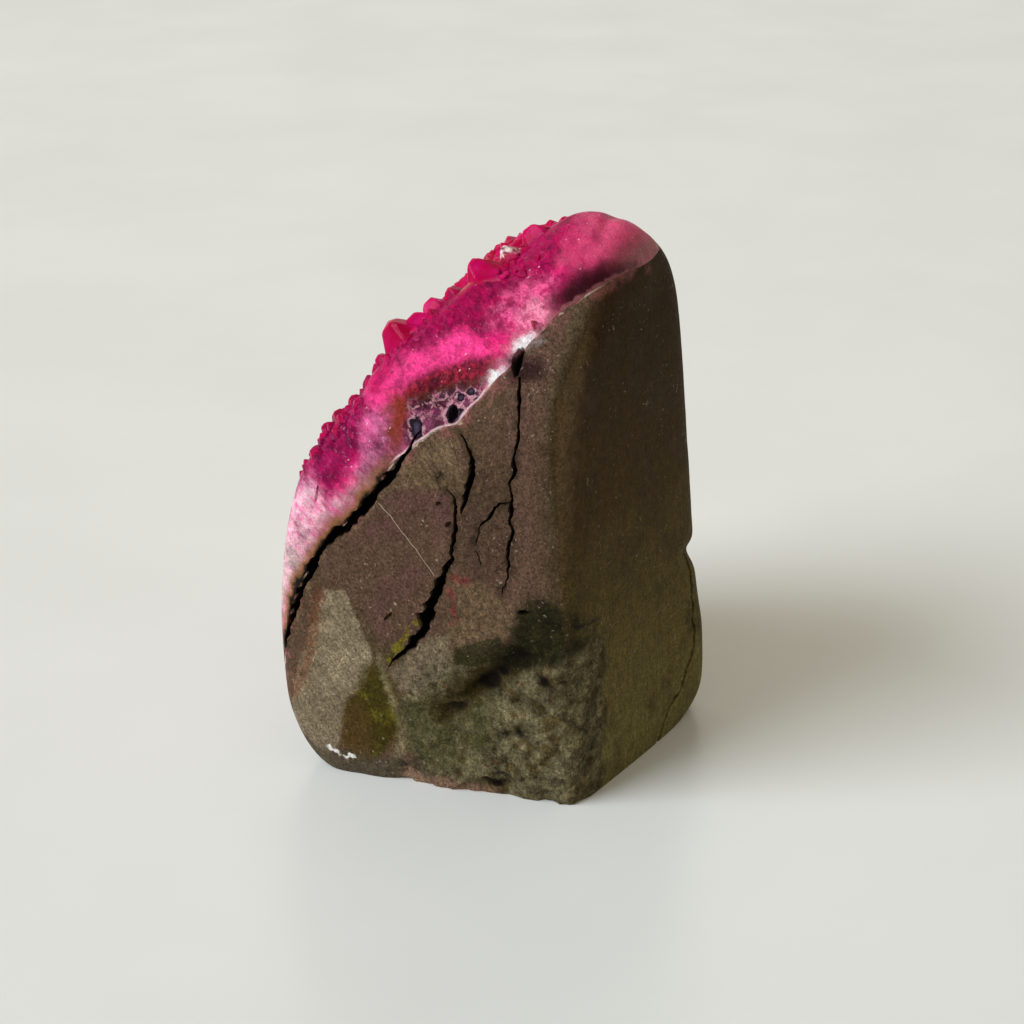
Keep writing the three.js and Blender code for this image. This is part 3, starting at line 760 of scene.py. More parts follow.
CRUST_ZONES = {
    # salmon_highlight outlines a painted highlight
    "salmon_highlight": [(12.1, 86.3), (13.8, 87.8), (16.2, 87.7), (17.6, 86.2), (17.4, 84.6), (15.6, 84),
        (12.8, 84.2)],
    "mottle": [(7.5, 86.7), (10.5, 90), (15, 91), (17, 88.9), (15.4, 84.2), (11.5, 82.6), (7.8, 83.6)],
    "hot": [(-10, 73.6), (-4, 79), (4, 83.1), (7.7, 82.5), (11.3, 80), (9.2, 78.6), (5.1, 77.9),
        (0.1, 75.6), (-4.3, 72.4), (-8.1, 70)],
    "garnet": [(-2.6, 75), (1.6, 78), (5, 79), (9.6, 80.2), (11.8, 79.6), (10.8, 76.6), (8, 74.6),
        (5.7, 74), (2.6, 72.8), (-2, 71.6)],
    "vug": [(-1.8, 72.3), (2.6, 74.2), (6.7, 75.6), (9.3, 76), (11.3, 74.9), (9.8, 72.4), (8, 70.6),
        (7, 68.6), (4.3, 67.8), (0.5, 66.6), (-2.4, 64.8), (-3, 68)],
    "rust": [(-5.6, 73.2), (-1.4, 74.4), (-1.2, 71), (-2.2, 66), (-5, 63.6), (-6.2, 68)],
    "mauve": [(-22, 58), (-17.5, 66), (-11, 71.6), (-8.8, 69.3), (-9.6, 65.8), (-12, 61.4), (-15, 57.5),
        (-17, 53.5), (-20, 53)],
    "dusk": [(-9, 70.8), (-4.6, 71.4), (-3.2, 66), (-6.2, 61.2), (-9.4, 57.4), (-12.6, 58.6),
        (-9.6, 63.4)],
    "roots": [(-12, 74), (-7.6, 80), (-5, 76.8), (-7.6, 73)],
    "veil": [(18.6, 85), (16.4, 87.4), (17.4, 90), (19.6, 92), (22, 92.3), (24.5, 91.5), (27.8, 90.6),
        (27.8, 87), (25.5, 86), (22, 85.2)],
    "dusky_crevice_shade": [(-11, 58.8), (-9.7, 64.1), (-5.6, 68.2), (-3.5, 67.4), (-1, 65.9), (-3.6, 62), (-6.5, 58)],
    "pale": [(-27, 50), (-22.2, 55.3), (-19.3, 57.7), (-17, 53.6), (-13.8, 55.8), (-8, 62.5),
        (-6.2, 62.6), (-6.6, 58.6), (-11.5, 53.2), (-17.2, 47.6), (-19.9, 42.9), (-24.7, 37.3),
        (-29, 38)],
    "foot": [(-32, 45), (-26.1, 43.3), (-19.8, 45.5), (-22, 39.4), (-24.2, 34.6), (-26.9, 28), (-34, 20)],
}
SIDE_LINES = {  # streaks of the ground side, as (y, z)
    "rust": [(-19.2, 36), (-20.2, 30.5), (-21.5, 25.5), (-23, 20.7), (-25.2, 15.3)],
    # glints and foot_glint_line are painted highlights along the foot's polished edge
    "glints": [(-20.2, 7), (-19.4, 5), (-17.9, 4.4), (-16.2, 4.1), (-15.2, 4.3)],
    "foot_glint_line": [(-23.4, 16), (-22.7, 12.7), (-21.2, 10.1), (-20.2, 7)],
    "red": [(8, 41.4), (4.6, 42), (4.2, 38), (4.6, 34)],
    "trough": [(17, 29.5), (12.4, 26.4), (8.6, 22.6), (5, 18.6), (1.4, 15.2)],
    "slits": [(25.2, 32.8), (23.6, 33.9), (21.6, 34.4), (20, 34.9)],
    "moss_lumps": [(-1.6, 32.5), (-2.8, 31.6), (-5.2, 28.1), (-7.2, 24.9)],
    "ridge": [(-9, 24.8), (-7.8, 19), (-5.9, 14), (-6.2, 8), (-7.4, 3)],
    "crevice": CREVICE,
}
FURTHEST = 20  # lines are followed no further away than this
SCRATCH = np.array([(-7.8, 54.4), (1.7, 41.7)])  # ends of the one long scratch
SCRATCH_BEND = 0.0021  # how much it bows, over the product of the ways to its two ends
CHIPS = [(-0.1, 51.8), (2, 44.9), (0.3, 39.8), (-10.3, 34.4), (-5.7, 35.6)]
# holes of the vug, painted as shade rather than cut
VUG_HOLES = [  # y, z and half-sizes
    (5.9, 71, 1.6, 1.7), (-0.6, 68.2, 1.1, 2), (8, 74.9, 0.7, 0.6), (6.6, 74, 0.7, 0.6),
    (9.2, 73.6, 0.6, 0.8),
]
CLEAR_POINT = (8, 91.5)  # x and z of the one colourless crystal
CLEAR_RADIUS = 2
CLEAR_LIFT = 1.5  # it is colourless from this far out of the body
SIDE_FROM = 16  # x from which the patches of the ground side show in the stone
CRUST_SIDE_FROM = 3  # and in the crust


def give(obj, **attributes):
    """Gives an object's vertices numbers for the shaders, by name."""
    for name, values in attributes.items():
        attribute = obj.data.attributes.new(name, "FLOAT", "POINT")
        attribute.data.foreach_set("value", values.astype(np.float32))


def give_zones(obj, p, zones, side):
    """How far each point lies inside each outline, and no further than it is inside its side."""
    give(obj, **{name: np.minimum(inside(p[:, 1:], zone), side) for name, zone in zones.items()})


def nearness(p, line, side):
    """How near points of the ground side come to a line on it, from 0 downwards."""
    away = distance_to_line(p[:, 1:], np.array(line)[:, :2])[0]
    return np.minimum(np.maximum(-away, -FURTHEST), side)


def describe_stone(obj):
    p = places(obj.data.vertices, "co")
    flat = p[:, 1:]
    normal = surface_normal(p)
    side = p[:, 0] - SIDE_FROM
    give_zones(obj, p, SIDE_ZONES | JOINT_ZONES, side)
    give(obj, **{name: nearness(p, line, side) for name, line in SIDE_LINES.items()})
    cracks = np.max([nearness(p, line, side) for line in [CREVICE, *SIDE_CRACKS]], axis=0)
    chips = np.min([np.linalg.norm(flat - c, axis=1) for c in CHIPS], axis=0)
    start, end = SCRATCH
    t = unit(end - start)
    run = (flat - start) @ t
    rest = np.linalg.norm(end - start) - run
    give(obj, sunk=sunk(p) - relief_depth(p), to_wall=wall_distance(p)[0], back=normal[:, 1],
         side=normal[:, 0], near_crack=cracks, chips=np.minimum(-chips, side),
         across_scratch=(flat - start) @ (-t[1], t[0]) - SCRATCH_BEND * run * rest,
         along_scratch=np.minimum(np.minimum(run, rest), side))


def describe_crust(obj):
    p = places(obj.data.vertices, "co")
    growth, along = wall_distance(p)
    side = p[:, 0] - CRUST_SIDE_FROM
    give_zones(obj, p, CRUST_ZONES | JOINT_ZONES, side)
    under = np.maximum(np.min([under_face(p, name) for name in DRUSE_FACES], axis=0), 0)
    over = np.maximum(growth, 0)
    holes = [1 - np.hypot((p[:, 1] - y) / a, (p[:, 2] - z) / b) for y, z, a, b in VUG_HOLES]
    x, z = CLEAR_POINT
    near = CLEAR_RADIUS - np.hypot(p[:, 0] - x, p[:, 2] - z)
    give(obj, share=over / (over + under + 0.5), growth=growth, along=along, sunk=sunk(p),
         vug_holes=np.maximum(np.minimum(np.max(holes, axis=0), side), -2),
         clear=near + np.minimum(-sunk(p) - CLEAR_LIFT, 0))


# ---- Materials --------------------------------------------------------------------------------

class Graph:
    """The nodes of one material. Most calls add one and give back the socket with its result;
    paint, tone and vary change the colour that the material has so far."""
    def __init__(self, name, **settings):
        self.material = bpy.data.materials.new(name)
        self.material.use_nodes = True
        self.tree = self.material.node_tree
        self.shader = self.tree.nodes["Principled BSDF"]
        for key, value in settings.items():
            self.feed(self.shader.inputs[key.replace("_", " ")], value)
        metres = self.node("ShaderNodeTexCoord", out="Object")
        self.place = self.vector("SCALE", metres, Scale=1 / MM)

    def feed(self, socket, value):
        if isinstance(value, bpy.types.NodeSocket):
            self.tree.links.new(value, socket)
        elif socket.type == "RGBA":
            socket.default_value = (*value, 1)
        else:
            socket.default_value = value

    def node(self, kind, inputs=(), out=0, **settings):
        node = self.tree.nodes.new(kind)
        for key, value in settings.items():
            setattr(node, key, value)
        for key, value in dict(inputs).items():
            self.feed(node.inputs[key], value)
        return node.outputs[out]

    def attribute(self, name):
        return self.node("ShaderNodeAttribute", out="Fac", attribute_name=name)

    def axis(self, name):
        return self.node("ShaderNodeSeparateXYZ", {0: self.place}, out=name)

    def math(self, operation, *values):
        return self.node("ShaderNodeMath", dict(enumerate(values)), operation=operation)

    def vector(self, operation, *values, **named):
        return self.node("ShaderNodeVectorMath", dict(enumerate(values)) | named, operation=operation)

    def add(self, *values):
        return functools.reduce(lambda a, b: self.math("ADD", a, b), values)

    def times(self, *values):
        return functools.reduce(lambda a, b: self.math("MULTIPLY", a, b), values)

    def most(self, a, b):
        return self.math("MAXIMUM", a, b)

    def rest(self, value):
        return self.math("SUBTRACT", 1, value)

    def step(self, value, low, high, to_low=0, to_high=1):
        """Eases from one number to another as value goes from low to high."""
        return self.node("ShaderNodeMapRange", {
            "Value": value, "From Min": low, "From Max": high, "To Min": to_low, "To Max": to_high},
            interpolation_type="SMOOTHSTEP")

    def stretched(self, x, y, z, turn=0):
        """The place with its axes scaled, after a turn around X given in degrees."""
        turned = self.node("ShaderNodeVectorRotate", {
            "Vector": self.place, "Rotation": (math.radians(turn), 0, 0)}, rotation_type="EULER_XYZ")
        return self.vector("MULTIPLY", turned, (x, y, z))

    def jolted(self, amount, size, where=None):
        """The place, thrown about by up to amount mm at random."""
        throw = self.node("ShaderNodeTexNoise", {
            "Vector": where or self.place, "Scale": 1 / size, "Detail": 3}, out=1)
        throw = self.vector("SUBTRACT", throw, (0.5, 0.5, 0.5))
        throw = self.vector("SCALE", throw, Scale=2 * amount)
        return self.vector("ADD", throw, where or self.place)

    def noise(self, size, detail=3, where=None, rough=0.55, swirl=0):
        """Noise from about 0.25 to 0.75, with features about size mm across."""
        return self.node("ShaderNodeTexNoise", {
            "Vector": where or self.place, "Scale": 1 / size, "Detail": detail,
            "Roughness": rough, "Distortion": swirl})

    def swing(self, value, amount):
        """A value from 0 to 1, spread over amount around 0."""
        return self.math("MULTIPLY_ADD", value, amount, -amount / 2)

    def wobble(self, amount, size, detail, **look):
        """Noise spread over amount around 0."""
        return self.swing(self.noise(size, detail, **look), amount)

    def spots(self, low, high, size, detail, **look):
        """0 to 1 in random spots: where noise lies above low, and fully above high."""
        return self.step(self.noise(size, detail, **look), low, high)

    def cells(self, size, where=None, out="Distance", feature="F1"):
        return self.node("ShaderNodeTexVoronoi", {
            "Vector": where or self.place, "Scale": 1 / size}, out=out, feature=feature)

    def cell_tones(self, size, where):
        """A random number from 0 to 1 for each cell."""
        return self.node("ShaderNodeSeparateColor", {0: self.cells(size, where, "Color")})

    def web(self, size, where):
        """How far each place lies from the edges between cells."""
        return self.cells(size, where, feature="DISTANCE_TO_EDGE")

    def zone(self, name, soft, ragged, size=2.5, at=0):
        """0 to 1 into a patch, or towards a line from this far away, with a ragged edge."""
        edge = self.add(self.attribute(name), self.wobble(3 * ragged, size, 5, rough=0.62))
        return self.step(edge, at - soft, at + soft)

    def stroke(self, name, width, soft, ragged, size=1.5):
        """1 near a line, with a ragged edge."""
        return self.zone(name, soft, ragged, size, -width)

    def ramp(self, value, stops):
        """Colours at values from 0 to 1."""
        node = self.tree.nodes.new("ShaderNodeValToRGB")
        elements = node.color_ramp.elements
        while len(elements) < len(stops):
            elements.new(0.5)
        for element, (at, colour) in zip(elements, stops):
            element.position, element.color = at, (*colour, 1)
        self.feed(node.inputs[0], value)
        return node.outputs[0]

    def mix(self, share, low, high):
        return self.node("ShaderNodeMix", {0: share, 6: low, 7: high}, out=2, data_type="RGBA")

    def shade(self, colour, factor):
        """A colour made lighter or darker by a number."""
        return self.vector("SCALE", colour, Scale=factor)

    def varied(self, colour, pattern, dark, light):
        """A colour made darker and lighter by a pattern from 0.3 to 0.7."""
        return self.shade(colour, self.step(pattern, 0.3, 0.7, dark, light))

    def paint(self, tint, *shares):
        """Lays a tint over the colour so far, as thickly as the product of the shares."""
        self.colour = self.mix(self.times(*shares), self.colour, tint)

    def tone(self, factor):
        self.colour = self.shade(self.colour, factor)

    def vary(self, pattern, dark, light):
        self.colour = self.varied(self.colour, pattern, dark, light)

    def finish(self, rough, *bumps):
        """Bumps are (height from 0 to 1, depth in mm)."""
        self.feed(self.shader.inputs["Base Color"], self.colour)
        self.feed(self.shader.inputs["Roughness"], rough)
        normal = {}
        for height, depth in bumps:
            inputs = {"Height": height, "Distance": depth * MM, "Strength": 1} | normal
            normal = {"Normal": self.node("ShaderNodeBump", inputs)}
        self.feed(self.shader.inputs["Normal"], normal["Normal"])
        return self.material


OLIVE_BROWN = (0.066, 0.042, 0.023)
OLIVE_CORNER = (0.085, 0.06, 0.034)
UMBER = (0.078, 0.046, 0.028)
PLUM_BROWN = (0.094, 0.05, 0.037)
PLUM = (0.09, 0.043, 0.036)
TAN = (0.18, 0.14, 0.088)
UPPER_TAN = (0.12, 0.078, 0.044)
MOSS = (0.033, 0.026, 0.001)
MOSS_LIGHT = (0.082, 0.068, 0.004)
MOSS_BROWN = (0.055, 0.032, 0.006)
MURK = (0.01, 0.008, 0.003)
MURK_GREEN = (0.02, 0.019, 0.007)
TROUGH_SHADE_BROWN = (0.05, 0.034, 0.01)
SHADE_BROWN = (0.026, 0.018, 0.005)
LICHEN = (0.066, 0.064, 0.024)
RUBBLE = (0.135, 0.112, 0.06)
OLIVE_FOOT = (0.07, 0.058, 0.036)
TAN_FOOT = (0.24, 0.135, 0.09)
RUST = (0.125, 0.043, 0.019)
# partly painted bounce light: the back is lighter towards its foot, as light off the floor would make it
BACK_TONES_AND_BOUNCE_LIGHT = [  # from its foot up
    (0.04, (0.155, 0.128, 0.042)), (0.24, (0.1, 0.075, 0.021)), (0.52, (0.05, 0.028, 0.005)),
    (0.8, (0.028, 0.012, 0.001)),
]
CORNER_LIGHT = (0.118, 0.072, 0.034)
SOCKET_SHADE = (0.02, 0.007, 0.009)
HIGHLIGHT_WHITE = (0.86, 0.84, 0.86)
GLINT = (0.8, 0.78, 0.74)
CREAM = (0.5, 0.4, 0.3)
PINK_STAIN = (0.3, 0.1, 0.1)
RED = (0.13, 0.018, 0.022)
SHADE_BLACK = (0.006, 0.005, 0.004)


def shaded(colour, factor):
    return tuple(factor * c for c in colour)


def paint_back(g, height, broad):
    """The back is darker, olive and painted lighter towards its foot, partly as light bounced off the
    floor, and faintly scored upright.
    """
    upright = g.noise(0.8, 4, g.stretched(1, 1, 0.16), rough=0.65)
    mottle = g.noise(8, 5, rough=0.6)
    level = g.add(g.math("DIVIDE", height, 100), g.swing(mottle, 0.24))
    rear = g.mix(g.step(mottle, 0.5, 0.66, 0, 0.4), g.ramp(level, BACK_TONES_AND_BOUNCE_LIGHT), shaded(UMBER, 0.6))
    corner = g.step(g.add(g.axis("Y"), g.wobble(4, 2, 5, rough=0.65)), 19.6, 21.6)
    olive = g.mix(g.step(broad, 0.4, 0.6), OLIVE_BROWN, OLIVE_CORNER)
    g.paint(olive, corner, g.step(height, 92, 84), 0.9)
    g.paint(rear, g.step(g.attribute("back"), 0.6, 0.96))
    g.vary(upright, 0.86, 1.14)
    return upright


def paint_upper_side(g, broad, polished):
    """The brown, plum and tan patches of the ground side."""
    streaks = g.noise(0.9, 4, g.stretched(1, 1.2, 0.11, -38))
    g.paint(PLUM_BROWN, g.zone("purple", 1.5, 1), 0.7)
    # darker and browner among the fine cracks, partly painted shade of them
    crack_shaded = g.mix(g.spots(0.4, 0.6, 1.2, 5), shaded(PLUM_BROWN, 0.5), shaded(UMBER, 0.9))
    g.paint(crack_shaded, g.zone("crack_shaded", 1.5, 1.2), 0.75)
    g.paint(g.mix(g.step(broad, 0.4, 0.6), PLUM, UMBER), g.zone("plum", 1.2, 1.2), 0.85)
    tan = g.varied(g.varied(TAN, streaks, 0.8, 1.15), g.noise(5, 4), 0.75, 1.15)
    g.paint(tan, polished, 0.95)
    g.paint(g.varied(UPPER_TAN, streaks, 0.62, 1.4), g.zone("upper_tan", 0.9, 1.1), 0.8)


def paint_rubble(g, rough):
    """The broken foot, painted darker in the hollows of its lumps and lighter on their tops as shade and
    light. Gives back its lumps and the tones of its chips.
    """
    lumps = g.noise(2.6, 9, rough=0.74)
    # painted shade and light: the rubble's colour follows its bump noise, dark in the hollows and light on
    # the tops
    rubble = g.ramp(lumps, [(0.38, shaded(RUBBLE, 0.25)), (0.46, shaded(RUBBLE, 0.8)), (0.54, RUBBLE),
                            (0.64, shaded(RUBBLE, 1.9))])
    rubble = g.mix(g.times(g.spots(0.54, 0.6, 4, 6, rough=0.65), 0.65), rubble, MOSS_BROWN)
    rubble = g.mix(g.times(g.spots(0.6, 0.66, 2.2, 5), 0.6), rubble, shaded(RUST, 0.6))
    chipped = g.cell_tones(1.5, g.jolted(0.9, 1.1))
    g.paint(g.shade(rubble, g.step(chipped, 0, 1, 0.72, 1.3)), rough)
    return lumps, chipped


def paint_lower_side(g, height, side, rough):
    """The tan, mossy, rusty and dark patches of the ground side, with painted shade in the trough, the
    slits and the socket, and a painted highlight spot.
    """
    wedge = g.zone("wedge", 0.7, 0.7)
    g.paint(g.varied(UPPER_TAN, g.noise(1.1, 5), 0.5, 1.2), wedge, 0.8)
    shelf = g.shade(TAN, g.step(g.noise(1.3, 6, rough=0.65), 0.34, 0.66, 0.5, 1.1))
    g.paint(shelf, g.zone("shelf", 0.8, 0.9), 0.75)
    g.paint(RED, g.stroke("red", 0.5, 0.9, 1), g.spots(0.38, 0.54, 1.6, 4), 0.85)
    g.paint(LICHEN, g.zone("lichen", 2, 2.6, 5), g.step(g.noise(3.5, 5), 0.34, 0.6, 0.35, 1), 0.85)
    mossy = g.mix(g.spots(0.46, 0.68, 3, 6, rough=0.65), MOSS, MOSS_LIGHT)
    mossy = g.mix(g.zone("moss_foot", 1, 1.2), mossy, MOSS_BROWN)
    g.paint(mossy, g.zone("moss", 1.2, 1.5), 0.9)
    g.paint(shaded(RUBBLE, 1.5), g.stroke("ridge", 0.6, 0.8, 0.9), 0.6)
    # olive, darker towards the bottom of the ground side
    ragged_height = g.add(height, g.wobble(6, 3, 5))
    g.paint(OLIVE_FOOT, side, g.step(ragged_height, 7, 2.5), g.rest(rough), 0.75)
    g.paint(TAN_FOOT, g.zone("tan_foot", 0.8, 1.3, 2), 0.7)
    # painted shade: a brown band along the trough
    g.paint(TROUGH_SHADE_BROWN, g.stroke("trough", 2.2, 0.9, 1.8, 2.5), 0.75)
    patchy = g.step(g.noise(3, 5), 0.4, 0.56, 0.45, 1)
    g.paint(SHADE_BROWN, g.zone("shade", 1, 1.6, 2.6), patchy, 0.85)
    murky = g.mix(g.spots(0.46, 0.54, 2.5, 6, rough=0.65), MURK_GREEN, shaded(MURK_GREEN, 0.45))
    g.paint(murky, g.zone("murk", 1.2, 1.5, 2.6), 0.92)
    # painted shade: a darker line in the trough's bottom
    g.paint(MURK, g.stroke("trough", 0.2, 0.4, 1.2, 1.2), g.spots(0.44, 0.52, 3, 4), 0.85)
    g.paint(shaded(MURK_GREEN, 1.2), g.zone("slab", 0.3, 0.5), 0.85)
    # painted shade: the slits are painted black
    g.paint(SHADE_BLACK, g.stroke("slits", 0.25, 0.3, 0.7, 1), 0.9)
    g.paint(RUST, g.stroke("rust", 0.8, 1.2, 1.1), 0.75)
    # painted shade: the socket, the dark hole at the head of the long crack
    g.paint(SOCKET_SHADE, g.zone("socket", 0.9, 0.7), 0.9)
    # painted highlight: a grey-white spot that fades into the stone
    painted_highlight = g.step(g.add(g.attribute("highlight_spot"), g.wobble(3, 1.5, 5)), 0.1, 2.2)
    g.paint(shaded(HIGHLIGHT_WHITE, 0.6), painted_highlight, 0.5)


def paint_edges(g, height, side):
    """Painted light on the rounded back corner, darker spots beside the cracks, and a pale line where the
    crust begins.
    """
    # painted light: the rounded corner into the back is painted a lighter olive-brown to offset the shade
    # it turns into
    lit_corner = g.step(g.add(g.axis("Y"), g.wobble(2.4, 2, 5, rough=0.65)), 24.6, 23.2)
    lit_corner = g.times(lit_corner, g.step(g.attribute("back"), 0.72, 0.9))
    g.paint(CORNER_LIGHT, g.times(lit_corner, g.step(height, 30, 58, 0.3, 1), g.step(height, 90, 78)), 0.9)
    g.paint(shaded(UPPER_TAN, 1.5), g.stroke("crevice", 1.2, 0.5, 0.5), g.spots(0.44, 0.54, 3, 3), 0.45)
    g.paint(MURK, g.stroke("near_crack", 0.7, 0.8, 0.8), g.spots(0.42, 0.58, 2.2, 4), 0.7)
    lump = g.times(g.stroke("moss_lumps", 0.7, 0.5, 0.9, 1.4), g.spots(0.42, 0.52, 1.6, 4))
    g.paint(shaded(MOSS_LIGHT, 1.5), lump, 0.8)
    hairlines = g.step(g.web(6, g.jolted(2.5, 3.5)), 0.016, 0.004)
    g.paint(MURK, hairlines, g.spots(0.55, 0.6, 6, 3), side, 0.5)
    near_wall = g.add(g.attribute("to_wall"), g.wobble(1.2, 1.2, 3))
    g.paint(PINK_STAIN, g.step(near_wall, 2.6, 0.5), g.spots(0.44, 0.6, 7, 3), 0.5)
    middle = g.times(g.step(height, 58, 62), g.step(height, 78, 75))
    rim = g.times(g.step(near_wall, 0.45, 0.1), g.most(g.spots(0.42, 0.5, 9, 2), middle), side)
    g.paint(g.mix(g.spots(0.45, 0.55, 5, 2), PINK_STAIN, CREAM), rim, 0.8)


def paint_grain(g, grain, fine):
    """Light and dark grains, specks and chips."""
    g.tone(g.step(g.noise(1.6, 5, rough=0.7), 0.34, 0.66, 0.84, 1.16))
    g.tone(g.times(g.step(grain, 0.3, 0.7, 0.5, 1.6), g.step(fine, 0.2, 0.8, 0.82, 1.35)))
    g.paint(CREAM, g.spots(0.64, 0.7, 0.7, 3), g.spots(0.45, 0.6, 6, 2), 0.4)
    g.paint(MURK, g.step(g.cells(1.3), 0.17, 0.1), g.spots(0.5, 0.62, 4, 2), 0.6)
    g.paint(CREAM, g.stroke("chips", 0.2, 0.15, 0.4, 0.8), 0.6)


def paint_marks(g, side, ground, scored, polished):
    """What grinding left, the one long scratch, and the painted highlights (glints) at its lower end."""
    brushed = g.noise(0.5, 4, g.stretched(1, 1, 0.12, -14), rough=0.7)
    g.vary(g.times(side, brushed), 0.86, 1.14)
    strays = g.most(g.noise(0.4, 2, g.stretched(1, 1, 0.05, 24)),
                    g.noise(0.4, 2, g.stretched(1, 1, 0.06, -75)))
    g.tone(g.step(g.times(scored, polished), 0, 1, 1, 1.3))
    g.tone(g.step(g.times(ground, g.step(strays, 0.68, 0.74)), 0, 1, 1, 1.7))
    thin = g.math("ABSOLUTE", g.add(g.attribute("across_scratch"), g.wobble(0.8, 4, 2)))
    g.paint(CREAM, g.step(thin, 0.1, 0.03), g.step(g.attribute("along_scratch"), 0, 0.6), 0.7)
    # painted highlights: white glints on the polished foot edge, and a thin painted specular line above
    # them
    g.paint(GLINT, g.stroke("glints", 0.4, 0.2, 0.9, 1), g.spots(0.42, 0.52, 1.5, 3))
    g.paint(CREAM, g.stroke("foot_glint_line", 0.08, 0.1, 0.08), 0.8)


def basalt():
    g = Graph("basalt", Specular_IOR_Level=0.1, Specular_Tint=(1, 0.78, 0.5))
    height, side = g.axis("Z"), g.step(g.attribute("side"), 0.2, 0.7)
    polished, rough = g.zone("polished", 0.4, 0.6), g.zone("rough", 0.8, 2, 4)
    broad = g.noise(12, 5, rough=0.6)
    g.colour = g.ramp(broad, [(0.38, OLIVE_BROWN), (0.5, UMBER), (0.62, PLUM_BROWN)])
    upright = paint_back(g, height, broad)
    paint_upper_side(g, broad, polished)
    lumps, chipped = paint_rubble(g, rough)
    paint_lower_side(g, height, side, rough)
    paint_edges(g, height, side)
    grain, fine = g.noise(0.5, 5, rough=0.78), g.noise(0.2, 2)
    paint_grain(g, grain, fine)
    ground = g.times(side, g.rest(rough))
    scored = g.times(ground, g.spots(0.57, 0.66, 0.5, 3, where=g.stretched(1, 1, 0.03, -38)))
    paint_marks(g, side, ground, scored, polished)
    # painted shade: black inside the cracks, by how deep they lie
    g.paint(SHADE_BLACK, g.step(g.attribute("sunk"), 0.35, 1.6))  # inside the cracks

    shine = g.mix(rough, g.mix(polished, (0.62,) * 3, (0.45,) * 3), (0.85,) * 3)
    pits = g.step(g.cells(0.9), 0.35, 0.1)
    return g.finish(
        g.add(shine, g.swing(grain, 0.3)),
        (g.times(rough, g.add(lumps, g.times(chipped, 0.12))), 1.1),
        (g.times(g.rest(ground), upright), 0.06),
        (g.rest(g.times(scored, 0.8)), 0.05),
        (g.math("SUBTRACT", grain, g.times(pits, 0.5)), 0.16),
        (fine, 0.03))


BAND_TONES = [  # from the wall outwards: hot pink, then the deeper magenta of the crystals' roots
    (0.06, (0.78, 0.12, 0.28)), (0.2, (0.8, 0.03, 0.19)), (0.36, (0.56, 0.006, 0.13)),
    (0.5, (0.4, 0.0025, 0.085)), (0.75, (0.34, 0.002, 0.066)),
]
MAGENTA = (0.46, 0.006, 0.1)
DEEP_MAGENTA = (0.22, 0.003, 0.055)
HOT_PINK = (0.98, 0.06, 0.3)
DARK_MAUVE, MAUVE = (0.36, 0.004, 0.08), (0.2, 0.003, 0.06)
ROOT = (0.42, 0.003, 0.08)
DUSK_PINK, DUSK_ROSE = (0.86, 0.19, 0.45), (0.74, 0.14, 0.34)
ROSE = (0.68, 0.078, 0.19)
SALMON_HIGHLIGHT, SALMON_HIGHLIGHT_DARK = (0.94, 0.3, 0.46), (0.74, 0.15, 0.3)
MOTTLE, DARK_MOTTLE = (0.76, 0.12, 0.3), (0.4, 0.03, 0.12)
DUSKY, DARK_DUSKY = (0.36, 0.09, 0.2), (0.12, 0.02, 0.05)
PALE_PINK = (0.7, 0.42, 0.49)
FOOT_CREAM = (0.44, 0.38, 0.31)
REAR_BROWN = (0.24, 0.11, 0.1)
PLUM_BLACK_SHADE = (0.026, 0.003, 0.006)
PLUM_RED = (0.13, 0.006, 0.024)
WHITE = (0.9, 0.82, 0.84)
GRAIN_WHITE = (0.9, 0.5, 0.62)
GRAIN_DARK = (0.17, 0.002, 0.045)
FROST = (0.85, 0.2, 0.42)
FOOT_RED = (0.3, 0.1, 0.1)
OCHRE = (0.24, 0.11, 0.04)
RUST_ORANGE = (0.22, 0.036, 0.006)
GARNET_TONES = [(0.4, (0.03, 0.004, 0.003)), (0.5, (0.14, 0.007, 0.011)), (0.64, (0.4, 0.018, 0.04))]
SOIL = (0.05, 0.028, 0.01)
VUG_TONES = [
    (0.4, (0.012, 0.006, 0.01)), (0.5, (0.06, 0.025, 0.045)), (0.58, (0.17, 0.05, 0.1)),
    (0.66, (0.5, 0.12, 0.25)),
]
VUG_RIB, VUG_LIP = (0.62, 0.3, 0.34), (0.6, 0.32, 0.38)
VUG_HOLE_SHADE, VUG_DEEP = (0.012, 0.007, 0.014), (0.07, 0.05, 0.09)
SEAM = (0.78, 0.52, 0.55)
HIGHLIGHT_HAZE = (0.5, 0.3, 0.34)
DOME_STAIN = (0.34, 0.12, 0.13)
CREVICE_SHADE = (0.012, 0.005, 0.005)


